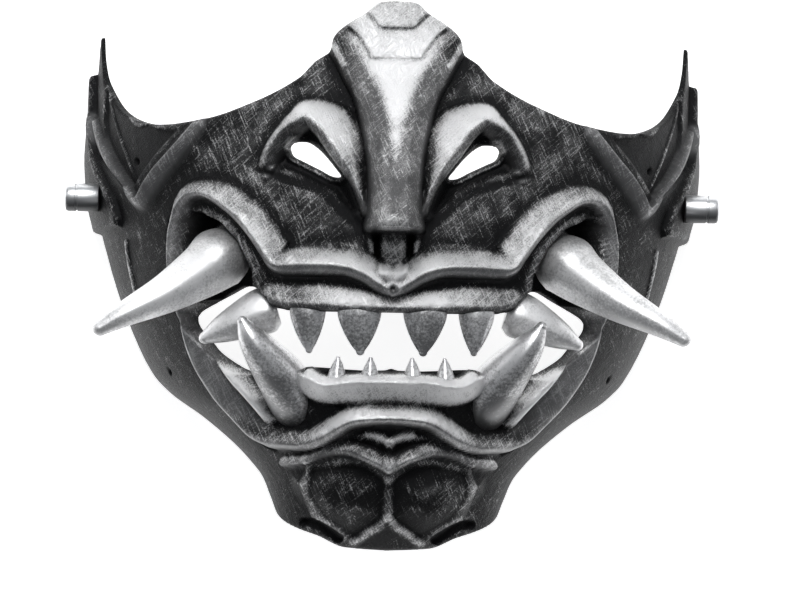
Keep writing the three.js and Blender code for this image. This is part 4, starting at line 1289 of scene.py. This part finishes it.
def make_horns():
    tusk = brushed_silver("tusk_silver", (0.97, 0.97, 0.975), 0.4, 0.44)
    tooth = brushed_silver("tooth_silver", (0.84, 0.84, 0.85), 0.7, 0.3)
    for word, side in (("left", -1), ("right", 1)):
        for name, rows, radius, material, slot in (
            ("upper_tusk", TUSK, TUSK_RADIUS, tusk, "tusk_silver"),
            ("corner_tusk", CORNER_TUSK, CORNER_TUSK_RADIUS, tusk, "tusk_silver"),
            ("lower_fang", FANG, FANG_RADIUS, tooth, "tooth_silver"),
        ):
            points, faces = horn_mesh(stations_of(rows, radius, side), 1)
            node = f"{name}_{word}"
            add_piece(smooth(mesh_object(f"{node}_cast", points, faces), 50), material, slot, node)
    for name, rows, radius, flatness in (
        ("upper_tooth", UPPER_TEETH, UPPER_TOOTH_RADIUS, TOOTH_FLATNESS),
        ("lower_tooth", LOWER_TEETH, LOWER_TOOTH_RADIUS, LOWER_TOOTH_FLATNESS),
    ):
        places = [(0, -1), (1, -1), (1, 1), (0, 1)]
        for number, (index, side) in enumerate(places, 1):
            points, faces = horn_mesh(tooth_stations(rows, index, radius, side), flatness)
            node = f"{name}_{number}"
            add_piece(smooth(mesh_object(f"{node}_cast", points, faces), 50), tooth, "tooth_silver", node)


def make_pegs():
    steel = polished_steel()
    for word, side in (("left", -1), ("right", 1)):
        points, faces = peg_mesh(side)
        node = f"side_peg_{word}"
        add_piece(smooth(mesh_object(f"{node}_turned", points, faces), 40), steel, "stud_steel", node)


# Floor, light and camera


def make_floor():
    size = 4.0
    mesh = bpy.data.meshes.new("floor")
    corners = [(-size, -size, 0), (size, -size, 0), (size, size, 0), (-size, size, 0)]
    mesh.from_pydata([(x, y, FRAME_LOW.z - 0.0002) for x, y, _ in corners], [], [(0, 1, 2, 3)])
    item = bpy.data.objects.new("floor", mesh)
    bpy.context.scene.collection.objects.link(item)
    n = Nodes("pale_floor")
    n.put(n.shader.inputs["Base Color"], (0.8, 0.8, 0.8, 1))
    n.shader.inputs["Roughness"].default_value = 0.9
    n.shader.inputs["Emission Color"].default_value = (1, 1, 1, 1)
    n.shader.inputs["Emission Strength"].default_value = 0.85
    mesh.materials.append(n.material)


def area_light(name, place, size, watts):
    light = bpy.data.lights.new(name, "AREA")
    light.shape, light.size, light.energy = "DISK", size, watts
    item = bpy.data.objects.new(name, light)
    item.location = place
    aim = Vector((0, 0, 0.05)) - Vector(place)
    item.rotation_mode = "QUATERNION"
    item.rotation_quaternion = aim.to_track_quat("-Z", "Y")
    bpy.context.scene.collection.objects.link(item)


def make_light():
    for light in LIGHTS:
        area_light(*light)
    world = bpy.data.worlds.new("studio")
    world.use_nodes = True
    tree = world.node_tree
    back = tree.nodes["Background"]
    place = tree.nodes.new("ShaderNodeTexCoord")
    split = tree.nodes.new("ShaderNodeSeparateXYZ")
    level = tree.nodes.new("ShaderNodeMapRange")
    tree.links.new(place.outputs["Generated"], split.inputs[0])
    tree.links.new(split.outputs["Y"], level.inputs["Value"])
    for key, number in (("From Min", -0.3), ("From Max", 0.9), ("To Min", 0.17), ("To Max", 0.36)):
        level.inputs[key].default_value = number
    tree.links.new(level.outputs[0], back.inputs["Strength"])
    back.inputs["Color"].default_value = (0.93, 0.96, 1.0, 1)
    bpy.context.scene.world = world


def make_camera():
    """A long lens straight over the face, turned a little as in the photograph."""
    aim = Vector(CAMERA_AIM) * MM
    lean, roll = math.radians(CAMERA_LEAN), math.radians(CAMERA_ROLL)
    back = Vector((math.sin(lean), 0, math.cos(lean)))
    right = Vector((0, 1, 0)).cross(back).normalized()
    up = back.cross(right)
    turned_right = right * math.cos(roll) + up * math.sin(roll)
    turned_up = up * math.cos(roll) - right * math.sin(roll)
    camera = bpy.data.cameras.new("camera")
    camera.lens, camera.sensor_width = LENS, SENSOR_WIDTH
    item = bpy.data.objects.new("camera", camera)
    rotation = Matrix((turned_right, turned_up, back)).transposed()
    item.matrix_world = Matrix.Translation(aim + back * CAMERA_DISTANCE * MM) @ rotation.to_4x4()
    bpy.context.scene.collection.objects.link(item)
    bpy.context.scene.camera = item


make_shell()
make_horns()
make_pegs()
make_floor()
make_light()
make_camera()
bpy.context.scene.view_settings.view_transform = "Standard"
